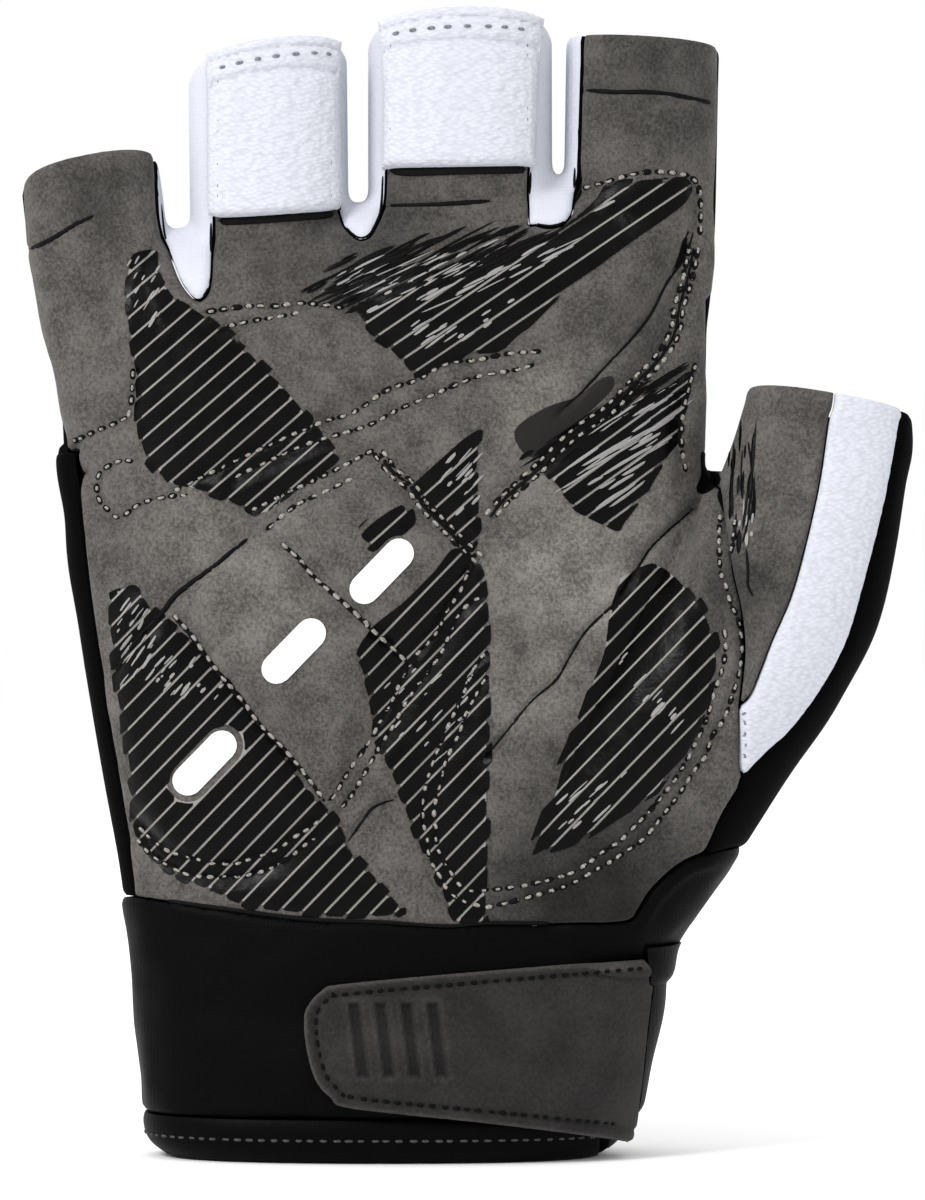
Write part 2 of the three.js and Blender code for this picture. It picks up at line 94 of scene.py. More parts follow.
# Cross-sections of cuff and palm, as in the CAD model
BODY_KEYS = ("level", "hand", "left", "right", "front", "back", "rise")
BODY_ROWS = [
    (-0.12, 0.0, 0.44, 0.4, 0.44, 0.44, 0.0),
    (0.0, 0.0, 0.45, 0.407, 0.444, 0.444, 0.0),
    (0.08, 0.0, 0.486, 0.443, 0.486, 0.486, 0.0),
    (0.18, 0.0, 0.5, 0.464, 0.5, 0.5, 0.0),
    (0.39, 0.0, 0.511, 0.484, 0.489, 0.489, 0.0),
    (0.7, 0.0, 0.524, 0.513, 0.464, 0.464, 0.0),
    (1.0, 0.25, 0.501, 0.503, 0.465, 0.465, 0.0),
    (1.18, 0.6, 0.487, 0.487, 0.5, 0.465, 0.0),
    (1.4, 0.9, 0.492, 0.468, 0.535, 0.472, 0.0),
    (1.52, 1.0, 0.5, 0.463, 0.536, 0.471, 0.0),
    (1.64, 1.0, 0.511, 0.471, 0.514, 0.457, 0.0),
    (1.75, 1.0, 0.52, 0.477, 0.479, 0.429, 0.03),
    (1.85, 1.0, 0.538, 0.479, 0.429, 0.386, 0.08),
    (1.91, 1.0, 0.533, 0.467, 0.379, 0.343, 0.12),
    (1.96, 1.0, 0.467, 0.413, 0.286, 0.264, 0.139),
    (2.0, 1.0, 0.37, 0.326, 0.129, 0.121, 0.139),
]

FINGER_KEYS = ("name", "root", "tip", "width", "depth", "reach", "rise", "lean", "arch")
FINGERS = [
    dict(zip(FINGER_KEYS, row))
    for row in [
        ("pinky", -0.43, -0.463, 0.885, 0.91, 0.16, 0.19, 0.25, 0.2),
        ("ring", -0.188, -0.194, 1.0, 1.0, 0.825, 0.157, 0.14, 1.0),
        ("middle", 0.099, 0.099, 1.16, 1.03, 1.0, 0.03, 0.14, 1.0),
        ("index", 0.368, 0.377, 0.965, 0.97, 0.868, -0.06, 0.08, 0.0),
    ]
]
TIP_ARCH, TIP_CORNER = 1.1, 1.3
FINGER_GIRTHS = [(0.0, 0.8), (0.35, 0.98), (0.6, 1.0), (1.0, 1.0)]

THUMB_KEYS = ("up", "inner", "outer", "front", "back")
THUMB_ROWS = [
    (-0.1, 0.139, 0.515, 0.65, 0.59),
    (-0.014, 0.167, 0.572, 0.78, 0.65),
    (0.105, 0.208, 0.653, 0.89, 0.65),
    (0.262, 0.278, 0.754, 1.0, 0.62),
    (0.418, 0.368, 0.856, 1.03, 0.54),
    (0.575, 0.465, 0.935, 1.0, 0.46),
    (0.731, 0.56, 0.971, 0.92, 0.35),
    (0.849, 0.622, 0.99, 0.84, 0.3),
    (0.93, 0.656, 1.003, 0.78, 0.27),
    (1.0, 0.681, 0.997, 0.757, 0.243),
]
THUMB_RISE = -0.1
CROTCH_FILL_X = 45.0
CROTCH_FILL_REACH = (6.0, 5.5, 4.5, 5.0)
CROTCH_FILL = [(80, 1.0), (86, 1.0), (90, 0.9), (93, 0.7), (95, 0.4), (95.8, 0.15)]
THUMB_TIP_RISE = -0.17
THUMB_LEAN = 0.15
THUMB_SIDE = 47.5
HEM_HEIGHT = 6.2
END_REACH = 4.0

# Seams and outlines of the palm side, in pixels of the photograph
ABOVE = -80
BELOW = 1300
FAR_LEFT = -200
FAR_RIGHT = 1100
CUFF_SEAM = [
    (100, 896), (131, 897), (202, 907), (304, 920), (386, 924), (447, 928), (488, 925), (569, 925),
    (627, 924), (640, 912), (650, 896), (665, 880), (684, 865), (704, 857), (735, 850), (760, 846),
]
WEB_LINES = {
    "web_pinky_ring": [
        (160, ABOVE), (160, 130), (161, 200), (164, 230), (169, 250), (180, 279), (193, 297),
        (203, 296), (210, 278), (211, 219), (210, 130), (210, ABOVE),
    ],
    "web_ring_middle": [
        (334, ABOVE), (335, 60), (338, 170), (341, 215), (347, 228), (354, 235), (360, 238), (369, 235),
        (376, 223), (381, 208), (383, 172), (385, 60), (387, ABOVE),
    ],
    "web_middle_index": [
        (537, ABOVE), (535, 60), (531, 168), (529, 219), (535, 223), (549, 226), (562, 223), (570, 215),
        (573, 204), (575, 164), (579, 40), (581, ABOVE),
    ],
}
THUMB_SEAM = [
    (712, 300), (712, 380), (712, 470), (716, 490), (721, 520), (731, 570), (741, 610), (745, 650),
    (742, 690), (740, 708),
]
WIPE_SEAM = [
    (846, 250), (835, 392), (829, 420), (818, 492), (795, 587), (772, 643), (753, 693), (740, 708),
]
EDGE_SEAM = [
    (912, 250), (904, 410), (901, 424), (886, 504), (867, 579), (848, 643), (821, 693), (791, 732),
    (768, 753), (745, 777),
]
HEEL_SEAM = [
    (745, 777), (741, 791), (725, 818), (712, 848), (702, 859), (685, 866), (665, 884), (649, 900),
    (637, 922), (626, 925),
]
SIDE_STRIP = [
    (72, 452), (74, 480), (80, 536), (90, 619), (101, 695), (115, 785), (124, 850), (131, 897), (133, 960),
]

TAB_OUTLINES = {
    "pull_tab_ring": [
        (211, 100), (211, 205), (215, 217), (240, 218), (300, 214), (333, 211), (338, 205), (335, 100),
        (333, ABOVE), (212, ABOVE),
    ],
    "pull_tab_middle": [
        (387, 90), (386, 160), (384, 171), (400, 169), (460, 168), (515, 167), (533, 167), (532, 150),
        (534, 90), (534, ABOVE), (388, ABOVE),
    ],
}
STRAP_TAB = [
    (644, 957), (500, 969), (345, 983), (322, 990), (307, 1008), (305, 1030), (309, 1058), (317, 1082),
    (331, 1098), (352, 1109), (480, 1122), (621, 1136),
]
SLIT = [(598, 1300), (598, 1040), (605, 1040), (605, 1300)]

# Raised gel pads
PADS = [
    [(105, 600), (150, 590), (200, 640), (260, 715), (345, 800), (320, 850), (270, 875), (215, 880),
     (150, 855), (118, 790), (100, 690)],
    [(175, 598), (262, 535), (300, 565), (345, 605), (385, 645), (372, 700), (375, 735), (345, 790),
     (290, 745), (230, 668)],
    [(285, 515), (375, 462), (430, 505), (478, 560), (462, 610), (420, 655), (385, 640), (340, 595)],
    [(600, 590), (655, 552), (712, 600), (728, 700), (700, 770), (640, 822), (560, 862), (490, 885),
     (455, 850), (455, 790), (500, 700)],
    [(132, 245), (165, 275), (205, 315), (290, 385), (335, 425), (270, 455), (190, 488), (150, 465),
     (132, 400)],
    [(230, 330), (330, 300), (410, 372), (330, 420), (300, 400)],
    [(350, 300), (430, 245), (560, 230), (690, 190), (680, 240), (620, 345), (540, 342), (470, 362),
     (415, 372)],
]

# Rows of stitching on the palm, one row of stitches each
STITCH_ROWS = [
    [(72, 442), (98, 430), (113, 424), (131, 415)],
    [(136, 462), (119, 461), (99, 474), (98, 497), (107, 509), (119, 518), (136, 506), (151, 500),
     (172, 496), (198, 495)],
    [(133, 368), (131, 403), (128, 418)],
    [(172, 492), (207, 474), (251, 453), (295, 433), (325, 421), (354, 412), (388, 389), (417, 380),
     (447, 363), (476, 360), (506, 354), (544, 351)],
    [(233, 478), (266, 462), (304, 445), (333, 436), (369, 425), (397, 410), (432, 395), (476, 377),
     (520, 369), (544, 360)],
    [(248, 512), (266, 503), (301, 486), (339, 468), (377, 448)],
    [(266, 530), (295, 506), (325, 492), (354, 478)],
    [(204, 312), (248, 306), (277, 306), (304, 303), (354, 309)],
    [(225, 327), (251, 321), (272, 318), (304, 312)],
    [(576, 190), (609, 181), (638, 173), (668, 172), (692, 178), (700, 195), (700, 240)],
    [(696, 362), (688, 390), (682, 420), (682, 450), (688, 480)],
    [(474, 560), (465, 578), (459, 593), (447, 610), (439, 628), (427, 643), (415, 657), (406, 672),
     (397, 690), (389, 707), (380, 722), (368, 743), (356, 760), (344, 778), (336, 793), (324, 805)],
    [(483, 596), (462, 610), (450, 634), (439, 657), (421, 681), (406, 702), (392, 728), (380, 746),
     (353, 793), (336, 813)],
    [(486, 652), (474, 669), (465, 690), (456, 710), (447, 728), (437, 752), (430, 772), (424, 793),
     (422, 810), (424, 825), (427, 840), (430, 858), (439, 875), (450, 893), (465, 902), (486, 907),
     (497, 905), (522, 899), (566, 886), (594, 871), (612, 861), (625, 852), (644, 839), (656, 824),
     (669, 808), (681, 792), (694, 771), (706, 755), (712, 736), (725, 717), (731, 699), (737, 680),
     (741, 658), (741, 639), (737, 617), (731, 605), (725, 583), (720, 570), (719, 536), (720, 517),
     (722, 505)],
    [(487, 675), (474, 699), (465, 716), (459, 734), (445, 763), (441, 781), (436, 799), (434, 816),
     (436, 831), (439, 852), (447, 866), (462, 887), (480, 890), (522, 886), (569, 874), (587, 864),
     (603, 852), (619, 842), (631, 830), (647, 814), (659, 799), (672, 783), (684, 764), (694, 745),
     (703, 727), (709, 711), (715, 689), (722, 670), (725, 652), (725, 636), (723, 620)],
    [(731, 555), (734, 536), (736, 517)],
    [(136, 837), (150, 854), (168, 866), (186, 874), (206, 877), (227, 877), (247, 875), (268, 869),
     (286, 859), (303, 846), (315, 837), (327, 828)],
    [(137, 825), (153, 840), (171, 852), (192, 857), (212, 863), (236, 863), (256, 857), (277, 849),
     (294, 837), (309, 828), (321, 819)],
]

# Lines sewn with two rows side by side
STITCH_LINES = [
    [(694, 245), (688, 277), (679, 307), (676, 328), (667, 348), (653, 366), (632, 386), (609, 410),
     (579, 430), (559, 448), (538, 469), (506, 498), (488, 519)],
    [(377, 450), (392, 471), (410, 486), (424, 506), (439, 521), (457, 539), (472, 553), (480, 560)],
]
ROW_DISTANCE = 1.25

# Rows sewn with black thread
BLACK_ROWS = [
    [(75, 474), (87, 471)],
    [(172, 614), (192, 637), (206, 657), (227, 684), (244, 704), (262, 728), (283, 749), (305, 775),
     (325, 802)],
    [(280, 543), (297, 557), (315, 578), (345, 604), (377, 634), (413, 667)],
    [(248, 538), (213, 567), (177, 594), (162, 613), (139, 637), (115, 672)],
]

# Folds pressed into the suede, and the sewn hems of the fingers
CREASES = [
    [(694, 508), (684, 517), (669, 530), (650, 549), (632, 578), (619, 599), (587, 630), (569, 658),
     (556, 680), (531, 702), (503, 736), (487, 755)],
    [(396, 799), (374, 807), (362, 822), (347, 843)],
    [(694, 230), (685, 257), (667, 283), (650, 316), (629, 342), (606, 366), (582, 392), (559, 413)],
    [(732, 410), (734, 450), (730, 490)],
    [(748, 440), (752, 480), (746, 530), (741, 545)],
    [(746, 546), (748, 570), (748, 586), (755, 599)],
]
FINGER_HEMS = [
    [(30, 249), (46, 242), (60, 234), (78, 223), (96, 215)],
    [(582, 90), (615, 92), (650, 92), (680, 96), (712, 103)],
    [(385, 206), (440, 204), (491, 201)],
]

# Thumb root: the rounded fold of the palm beside the thumb
ROOT_FOLD = [(712, 500), (708, 530), (706, 565), (712, 600)]

# Printed fields: slope of their bands in degrees, then the outline
PRINT_FIELDS = [
    (41, [(131, 251), (125, 268), (123, 300), (126, 327), (131, 357), (138, 392), (138, 427),
          (141, 445), (148, 462), (160, 477), (169, 486), (198, 493), (233, 503), (248, 512),
          (266, 516), (301, 492), (342, 462), (333, 447), (316, 424), (301, 403), (283, 383),
          (266, 368), (248, 350), (233, 336), (213, 321), (194, 307), (177, 297), (161, 271),
          (157, 247)]),
    (34, [(352, 309), (400, 285), (450, 268), (500, 250), (550, 238), (579, 220), (600, 201),
          (612, 186), (653, 181), (682, 178), (691, 186), (685, 201), (667, 216), (638, 236),
          (609, 257), (594, 269), (576, 283), (553, 304), (532, 325), (517, 336), (500, 351),
          (476, 354), (447, 363), (417, 377), (412, 372), (391, 348), (370, 333), (356, 315)]),
    (36, [(540, 462), (575, 442), (610, 420), (650, 400), (691, 370), (693, 395), (682, 425),
          (679, 439), (667, 454), (653, 477), (641, 498), (623, 522), (617, 530), (597, 519),
          (576, 510), (556, 489)]),
    (42, [(412, 483), (432, 463), (450, 448), (482, 428), (480, 453), (477, 483), (478, 510),
          (480, 530), (471, 551), (457, 539), (439, 521), (424, 506)]),
    (42, [(357, 535), (400, 502), (412, 520), (404, 536), (388, 552)]),
    (46, [(459, 548), (487, 608), (487, 919), (462, 925), (450, 919), (439, 887), (424, 857),
          (412, 828), (403, 804), (392, 775), (386, 760), (374, 735), (374, 716), (371, 696),
          (362, 669), (356, 652), (374, 625), (403, 602), (433, 572)]),
    (46, [(109, 590), (136, 584), (150, 604), (168, 622), (192, 640), (206, 657), (227, 678),
          (244, 704), (268, 728), (283, 752), (297, 772), (321, 802), (339, 822), (353, 852),
          (374, 875), (395, 899), (402, 915), (330, 917), (256, 908), (227, 899), (197, 887),
          (177, 878), (150, 860), (139, 843), (133, 822), (133, 799), (128, 775), (124, 743),
          (124, 722), (118, 699), (112, 649), (108, 625), (108, 599)]),
    (46, [(650, 561), (619, 574), (615, 586), (606, 614), (603, 636), (600, 655), (590, 680),
          (584, 699), (575, 724), (570, 742), (559, 767), (553, 789), (544, 814), (537, 833),
          (525, 867), (540, 855), (569, 845), (590, 836), (619, 817), (644, 802), (659, 792),
          (675, 767), (687, 749), (697, 730), (706, 711), (712, 686), (719, 667), (715, 636),
          (706, 611), (690, 589), (672, 570), (656, 561)]),
]
RAGGED = 0.55

# Smooth dark film beside the print
FILMS = [
    [(514, 432), (545, 408), (577, 397), (598, 381), (611, 376), (614, 386), (602, 400), (580, 420),
     (535, 458)],
]

# Black patch in the angle between palm and thumb
CROTCH_PATCH = [(701, 452), (709, 458), (716, 468), (721, 480), (714, 488), (704, 494), (696, 490), (701, 474)]

# Brushed strokes round and over the print: zone, slope in degrees, number, longest in mm, pale or black; the
# black strokes are print, the pale ones painted highlights on the glossy print
STROKE_ZONES = [
    ([(296, 292), (313, 271), (342, 258), (369, 249), (398, 244), (430, 235), (472, 229), (500, 223),
      (523, 228), (560, 224), (540, 250), (470, 275), (400, 296), (352, 316), (309, 304)], 26, 120,
      13.0, "black"),
    ([(313, 282), (345, 262), (400, 248), (470, 236), (560, 236), (600, 208), (640, 186), (620, 222),
      (560, 262), (480, 290), (400, 318), (345, 306)], 27, 62, 9.0, "pale"),
    ([(520, 462), (560, 432), (600, 408), (692, 362), (694, 385), (610, 425), (550, 470)], 33, 70, 12.0,
      "black"),
    ([(540, 478), (600, 428), (690, 378), (685, 425), (650, 475), (612, 520), (570, 500)], 33, 34, 12.0,
      "pale"),
    ([(400, 330), (480, 300), (560, 270), (540, 300), (480, 335), (420, 355)], 34, 16, 5.0, "pale"),
    ([(112, 600), (136, 592), (160, 622), (150, 680), (122, 690)], 56, 26, 4.0, "pale"),
    ([(150, 655), (190, 650), (235, 700), (215, 705), (165, 690)], 48, 22, 3.0, "pale"),
    ([(619, 670), (640, 660), (690, 730), (676, 745)], 46, 14, 4.5, "pale"),
    ([(560, 800), (600, 775), (630, 775), (600, 815), (560, 830)], 42, 14, 5.0, "pale"),
    ([(128, 262), (160, 262), (170, 300), (150, 330), (130, 300)], 60, 16, 3.5, "pale"),
    ([(436, 470), (478, 445), (476, 500), (450, 520)], 48, 16, 4.5, "pale"),
    ([(380, 640), (470, 600), (484, 700), (450, 760), (400, 740)], 46, 18, 3.5, "pale"),
    ([(726, 430), (756, 408), (757, 470), (750, 542), (734, 542)], 86, 22, 8.0, "black"),
    ([(738, 505), (754, 500), (752, 545), (738, 548)], 84, 6, 3.0, "pale"),
]

# Painted light and shade on the suede: middle in pixels, reach in mm, and how much lighter (painted light) or
# darker (painted shade) it is painted there
PAINTED_LIGHT_ZONES = [
    ((570, 570), 11.0, 1.0), ((240, 570), 13.0, 0.5), ((535, 400), 9.0, 0.45), ((650, 490), 6.0, 0.5),
    ((360, 215), 15.0, -0.5), ((645, 70), 11.0, -0.5), ((90, 190), 8.0, -0.35), ((650, 330), 7.0, -0.3),
    ((600, 895), 15.0, -0.95), ((740, 590), 7.0, -0.6), ((530, 700), 8.0, 0.35),
]

# Plain white bars: middle in pixels, length and width in mm, slope in degrees
WHITE_BARS = [((205, 763), 11.0, 4.2, 46), ((294, 651), 11.0, 4.2, 46), ((382, 571), 11.0, 4.2, 46)]
BAR_MARGIN = 0.9

# Pull tabs: distance of the hem's stitches and of the side seams from the edges, and the gap under a tab
TAB_HEM = 4.6
TAB_ROW = 1.5
TAB_SIDE = 0.9
TAB_CLEARANCE = 0.35

# Strap's end: pressed ribs from left to right, and their height range, in mm
RIB_FIRST, RIB_COUNT, RIB_PITCH, RIB_WIDTH = -4.4, 4, 3.6, 1.9
RIB_LOW, RIB_HIGH, RIB_SLOPE = 10.6, 21.4, 0.12
STRAP_ROW = 1.6


def linear(hex_colour):
    """Linear RGBA from an sRGB colour such as #6a6661."""
    parts = [int(hex_colour[i:i + 2], 16) / 255 for i in (1, 3, 5)]
    return tuple(c / 12.92 if c <= 0.04045 else ((c + 0.055) / 1.055) ** 2.4 for c in parts) + (1.0,)


def size_property(name, description, default):
    """Length in millimetres that a user may change."""
    return bpy.props.FloatProperty(name=name, description=description + ", in mm", default=default, min=0.01)


def colour_property(name, description, default):
    """Colour that a user may change."""
    return bpy.props.FloatVectorProperty(
        name=name, description=description, default=linear(default), subtype="COLOR", size=4, min=0, max=1
    )


class GloveSizes(bpy.types.PropertyGroup):
    """Sizes of the cloth, print and thread."""

    voxel: size_property("Mesh spacing", "Spacing of the cloth's mesh", 0.62)
    suede_wall: size_property("Suede", "Thickness of the palm's suede", 1.2)
    cloth_wall: size_property("Stretch cloth", "Thickness of the black cloth", 1.2)
    cuff_wall: size_property("Cuff", "Thickness of the cuff's foam cloth", 2.2)
    tab_thickness: size_property("Pull tab", "Thickness of the towelling tabs", 1.6)
    strap_thickness: size_property("Strap", "Thickness of the wrist strap", 1.9)
    seam_gap: size_property("Seam gap", "Gap between two sewn panels", 0.24)
    pad_rise: size_property("Pad rise", "Height of the gel pads", 1.5)
    stitch_pitch: size_property("Stitch pitch", "Distance from one stitch to the next", 1.8)
    stitch_length: size_property("Stitch length", "Length of thread that shows", 1.15)
    thread_width: size_property("Thread", "Width of the thread", 0.62)
    print_pitch: size_property("Print pitch", "Distance from one printed band to the next", 2.35)
    print_gap: size_property("Print gap", "Bare line between printed bands", 0.33)
    print_height: size_property("Print height", "Height of the print on the suede", 0.12)


class GloveColours(bpy.types.PropertyGroup):
    """Colours of the cloth, print and thread."""

    suede: colour_property("Suede", "Grey suede of the palm and thumb", "#5f5c59")
    suede_shade: colour_property("Suede shade", "Darker nap of the suede", "#34322f")
    strap_suede: colour_property("Strap suede", "Suede of the strap's end", "#2b2928")
    strap_shade: colour_property("Strap shade", "Darker nap of the strap's end", "#1a1817")
    black_cloth: colour_property("Black cloth", "Stretch cloth of the back", "#040405")
    cuff_cloth: colour_property("Cuff cloth", "Cloth face of the cuff", "#030304")
    white_cloth: colour_property("White cloth", "Strips between the fingers", "#c3c5cf")
    towelling: colour_property("Towelling", "Pull tabs and thumb wipe", "#c6c8d1")
    grip_print: colour_property("Grip print", "Black print on the palm", "#030303")
    # Pale strokes: painted highlights on the glossy print
    painted_highlight_colour: colour_property("Pale strokes", "Worn strokes of the print", "#7d7c7b")
    white_print: colour_property("White print", "White bars on the palm", "#d6d6d6")
    # Inside colour: the inner face of the cloth, and painted shade on the cut edges that darkens the seams
    lining_and_painted_seam_shade: colour_property("Inside", "Inner face and cut edge of the cloths", "#0b0b0c")
    bare_line: colour_property("Bare lines", "Thin ground that shows between the printed bands", "#7a7874")
    film: colour_property("Film", "Smooth dark film beside the print", "#191817")
    palm_thread: colour_property("Palm thread", "Stitching of the palm", "#9c9892")
    tab_thread: colour_property("Tab thread", "Stitching of the white tabs", "#808289")
    # Black cords: black thread along the black rows, and painted shade in seams, creases, under the pull tabs
    # and round the palm's stitches
    black_thread_and_painted_shade: colour_property("Black thread", "Stitching of cuff and strap, and seam cords", "#0b0b0b")
    strap_thread: colour_property("Strap thread", "Stitching of the strap's end", "#0a0909")
    hem_thread: colour_property("Hem thread", "Stitching of the cuff's hem", "#4c4a48")


def sizes():
    """The sizes set in the sidebar."""
    return bpy.context.scene.glove_sizes


def colours():
    """The colours set in the sidebar."""
    return bpy.context.scene.glove_colours


# Lines and distances in the seen plane


def on_plane(pixels):
    """Places in the plane y = 0, in mm, of pixels of the photograph."""
    px = np.array(pixels, float)
    return np.column_stack([px[:, 0] - MIDDLE_PIXEL, GROUND_PIXEL - px[:, 1]]) * MM_PER_PIXEL


def seen(points):
    """Where points show in the plane y = 0 as the camera sees them."""
    scale = -EYE[1] / (points[:, 1] - EYE[1])
    return EYE[[0, 2]] + (points[:, [0, 2]] - EYE[[0, 2]]) * scale[:, None]


def rounded(line, closed=False, steps=6):
    """Smooth curve through a line's points."""
    count = len(line)
    spans = count if closed else count - 1
    at = np.arange(0, steps) / steps
    out = []
    for i in range(spans):
        ids = [(i - 1, i, i + 1, i + 2), tuple(np.clip((i - 1, i, i + 1, i + 2), 0, count - 1))][not closed]
        a, b, c, d = (line[k % count] for k in ids)
        t = at[:, None]
        out.append(0.5 * (2 * b + (c - a) * t + (2 * a - 5 * b + 4 * c - d) * t ** 2
                          + (3 * b - a - 3 * c + d) * t ** 3))
    if not closed:
        out.append(line[-1:])
    return np.concatenate(out)


def drawn(line, closed=False, steps=6):
    """Smooth curve in the seen plane through a line of pixels."""
    return rounded(on_plane(line), closed, steps)


def side_of(curve):
    """Unit vectors to the left of a flat curve, one at each point."""
    run = np.gradient(curve, axis=0)
    return np.column_stack([-run[:, 1], run[:, 0]]) / np.linalg.norm(run, axis=1)[:, None]


def beside(line, offset):
    """The two lines that run beside a smooth line of pixels, an offset in mm to each side."""
    curve = drawn(line, steps=8)
    side = side_of(curve)
    return [curve + side * offset, curve - side * offset]


def distance(points, line, closed=False, reach=None):
    """Distance of flat points to a line, measured only within reach of it where reach is given."""
    if reach is not None:
        near = ((points > line.min(axis=0) - reach) & (points < line.max(axis=0) + reach)).all(axis=1)
        out = np.full(len(points), float(reach))
        out[near] = distance(points[near], line, closed)
        return out
    ends = np.roll(line, -1, axis=0) if closed else line[1:]
    starts = line if closed else line[:-1]
    best = np.full(len(points), 1e12)
    for start, end in zip(starts, ends):
        run = end - start
        share = np.clip((points - start) @ run / max(run @ run, 1e-12), 0, 1)
        gap = points - start - share[:, None] * run
        best = np.minimum(best, (gap * gap).sum(axis=1))
    return np.sqrt(best)


def depth_inside(points, outline, reach=None):
    """Distance of flat points to a closed outline, positive inside."""
    within = np.zeros(len(points), bool)
    for start, end in zip(outline, np.roll(outline, -1, axis=0)):
        if start[1] == end[1]:
            continue
        crosses = (start[1] > points[:, 1]) != (end[1] > points[:, 1])
        cut = start[0] + (points[:, 1] - start[1]) * (end[0] - start[0]) / (end[1] - start[1])
        within ^= crosses & (points[:, 0] < cut)
    return np.where(within, 1.0, -1.0) * distance(points, outline, True, reach)


def lumps(points, size, seed):
    """Smooth random relief between -1 and 1, its bumps about size mm across."""
    count = 32
    points = points[:, :3]
    table = np.random.default_rng(seed).uniform(-1, 1, (count, count, count))
    cell = np.floor(points / size).astype(int)
    share = points / size - cell
    share = share * share * (3 - 2 * share)
    total = np.zeros(len(points))
    for corner in range(8):
        step = np.array([corner & 1, corner >> 1 & 1, corner >> 2])
        weight = np.prod(np.where(step, share, 1 - share), axis=1)
        i, j, k = ((cell + step) % count).T
        total += weight * table[i, j, k]
    return total


def eased(share):
    """Smooth step from 0 to 1."""
    share = np.clip(share, 0, 1)
    return share * share * (3 - 2 * share)


# The glove's skin


def curve_through(x, y, at):
    """Smooth curve through a table's values without overshoot."""
    step = np.diff(x)
    slope = np.diff(y) / step
    tangent = np.concatenate([slope[:1], np.zeros(len(x) - 2), slope[-1:]])
    for i in range(1, len(x) - 1):
        if slope[i - 1] * slope[i] > 0:
            near, far = 2 * step[i] + step[i - 1], step[i] + 2 * step[i - 1]
            tangent[i] = (near + far) / (near / slope[i - 1] + far / slope[i])
    k = np.clip(np.searchsorted(x, at, side="right") - 1, 0, len(x) - 2)
    t = (at - x[k]) / step[k]
    return ((2 * t ** 3 - 3 * t ** 2 + 1) * y[k] + (t ** 3 - 2 * t ** 2 + t) * step[k] * tangent[k]
            + (3 * t ** 2 - 2 * t ** 3) * y[k + 1] + (t ** 3 - t ** 2) * step[k] * tangent[k + 1])


def smooth_table(keys, rows, count):
    """A table's columns at count even places between its first and last row."""
    table = np.array(rows, float)
    at = np.linspace(table[0, 0], table[-1, 0], count)
    return {key: curve_through(table[:, 0], table[:, i], at) for i, key in enumerate(keys)}


def ring(left, right, front, back, height, rise=0.0, lean=0.0, pivot=0.0, power=FINGER_POWER, sides=112):
    """One rounded cross-section."""
    angle = np.arange(sides) / sides * 2 * math.pi
    across = np.sign(np.cos(angle)) * np.abs(np.cos(angle)) ** (2 / power)
    deep = np.sign(np.sin(angle)) * np.abs(np.sin(angle)) ** (2 / power)
    x = (left + right) / 2 + (right - left) / 2 * across
    y = (back + front) / 2 * deep
    z = height + rise * (x - pivot) - lean * y
    return np.column_stack([x, (back - front) / 2 + y, z])


def body_rings():
    """Cross-sections of cuff and palm from below the cuff's edge to the fingers' roots."""
    t = smooth_table(BODY_KEYS, BODY_ROWS, 80)
    width = CUFF_WIDTH + (HAND_WIDTH - CUFF_WIDTH) * t["hand"]
    depth = CUFF_DEPTH + (HAND_DEPTH - CUFF_DEPTH) * t["hand"]
    height = np.minimum(t["level"], 1) * CUFF_HEIGHT + np.maximum(t["level"] - 1, 0) * PALM_HEIGHT
    return [
        ring(-t["left"][i] * width[i], t["right"][i] * width[i], t["front"][i] * depth[i],
             t["back"][i] * depth[i], height[i], rise=t["rise"][i], pivot=PALM_MIDDLE * HAND_WIDTH,
             power=BODY_POWER)
        for i in range(len(height))
    ]


def finger_tip(finger):
    """Height of a finger's open end at its middle."""
    return CROTCH + finger["reach"] * FINGER_REACH


def finger_rings(finger):
    """Cross-sections of a finger from inside the palm to past its open end."""
    foot = CROTCH - FINGER_ROOT
    tip = finger_tip(finger)
    t = smooth_table(("along", "girth"), FINGER_GIRTHS, 24)
    rings = []
    for along, girth in zip(t["along"], t["girth"]):
        middle = (finger["root"] + (finger["tip"] - finger["root"]) * along) * HAND_WIDTH
        half = finger["width"] * FINGER_WIDTH * girth / 2
        deep = finger["depth"] * FINGER_DEPTH * girth / 2
        rings.append(ring(middle - half, middle + half, deep, deep, foot + (tip - foot) * along,
                          rise=finger["rise"] * along, lean=finger["lean"] * along, pivot=middle))
    rings.append(rings[-1] + [0, 0, END_REACH])
    return rings


def thumb_rings():
    """Cross-sections of the thumb from inside the palm to past its open end."""
    t = smooth_table(THUMB_KEYS, THUMB_ROWS, 40)
    rings = []
    for i, up in enumerate(t["up"]):
        inner, outer = t["inner"][i] * THUMB_REACH, t["outer"][i] * THUMB_REACH
        lift = max(up - 0.85, 0) / 0.15
        rings.append(ring(inner, outer, t["front"][i] * THUMB_DEPTH, t["back"][i] * THUMB_DEPTH,
                          CUFF_HEIGHT + up * THUMB_HEIGHT, rise=THUMB_RISE * lift, lean=THUMB_LEAN * lift,
                          pivot=(inner + outer) / 2))
    rings.append(rings[-1] + [0, 0, END_REACH])
    return rings


def crotch_rings():
    """Web of cloth that fills the angle between palm and thumb."""
    left, right, front, back = CROTCH_FILL_REACH
    return [
        ring(CROTCH_FILL_X - left * share, CROTCH_FILL_X + right * share, front * share, back * share, z,
             power=2.0, sides=48)
        for z, share in CROTCH_FILL
    ]


def closed_stack(rings, first):
    """Points and faces of a stack of rings, closed at both ends."""
    sides = len(rings[0])
    faces = [tuple(range(first + sides - 1, first - 1, -1))]
    for row in range(len(rings) - 1):
        a = first + row * sides
        for i in range(sides):
            j = (i + 1) % sides
            faces.append((a + i, a + j, a + sides + j, a + sides + i))
    last = first + (len(rings) - 1) * sides
    faces.append(tuple(range(last, last + sides)))
    return np.concatenate(rings), faces


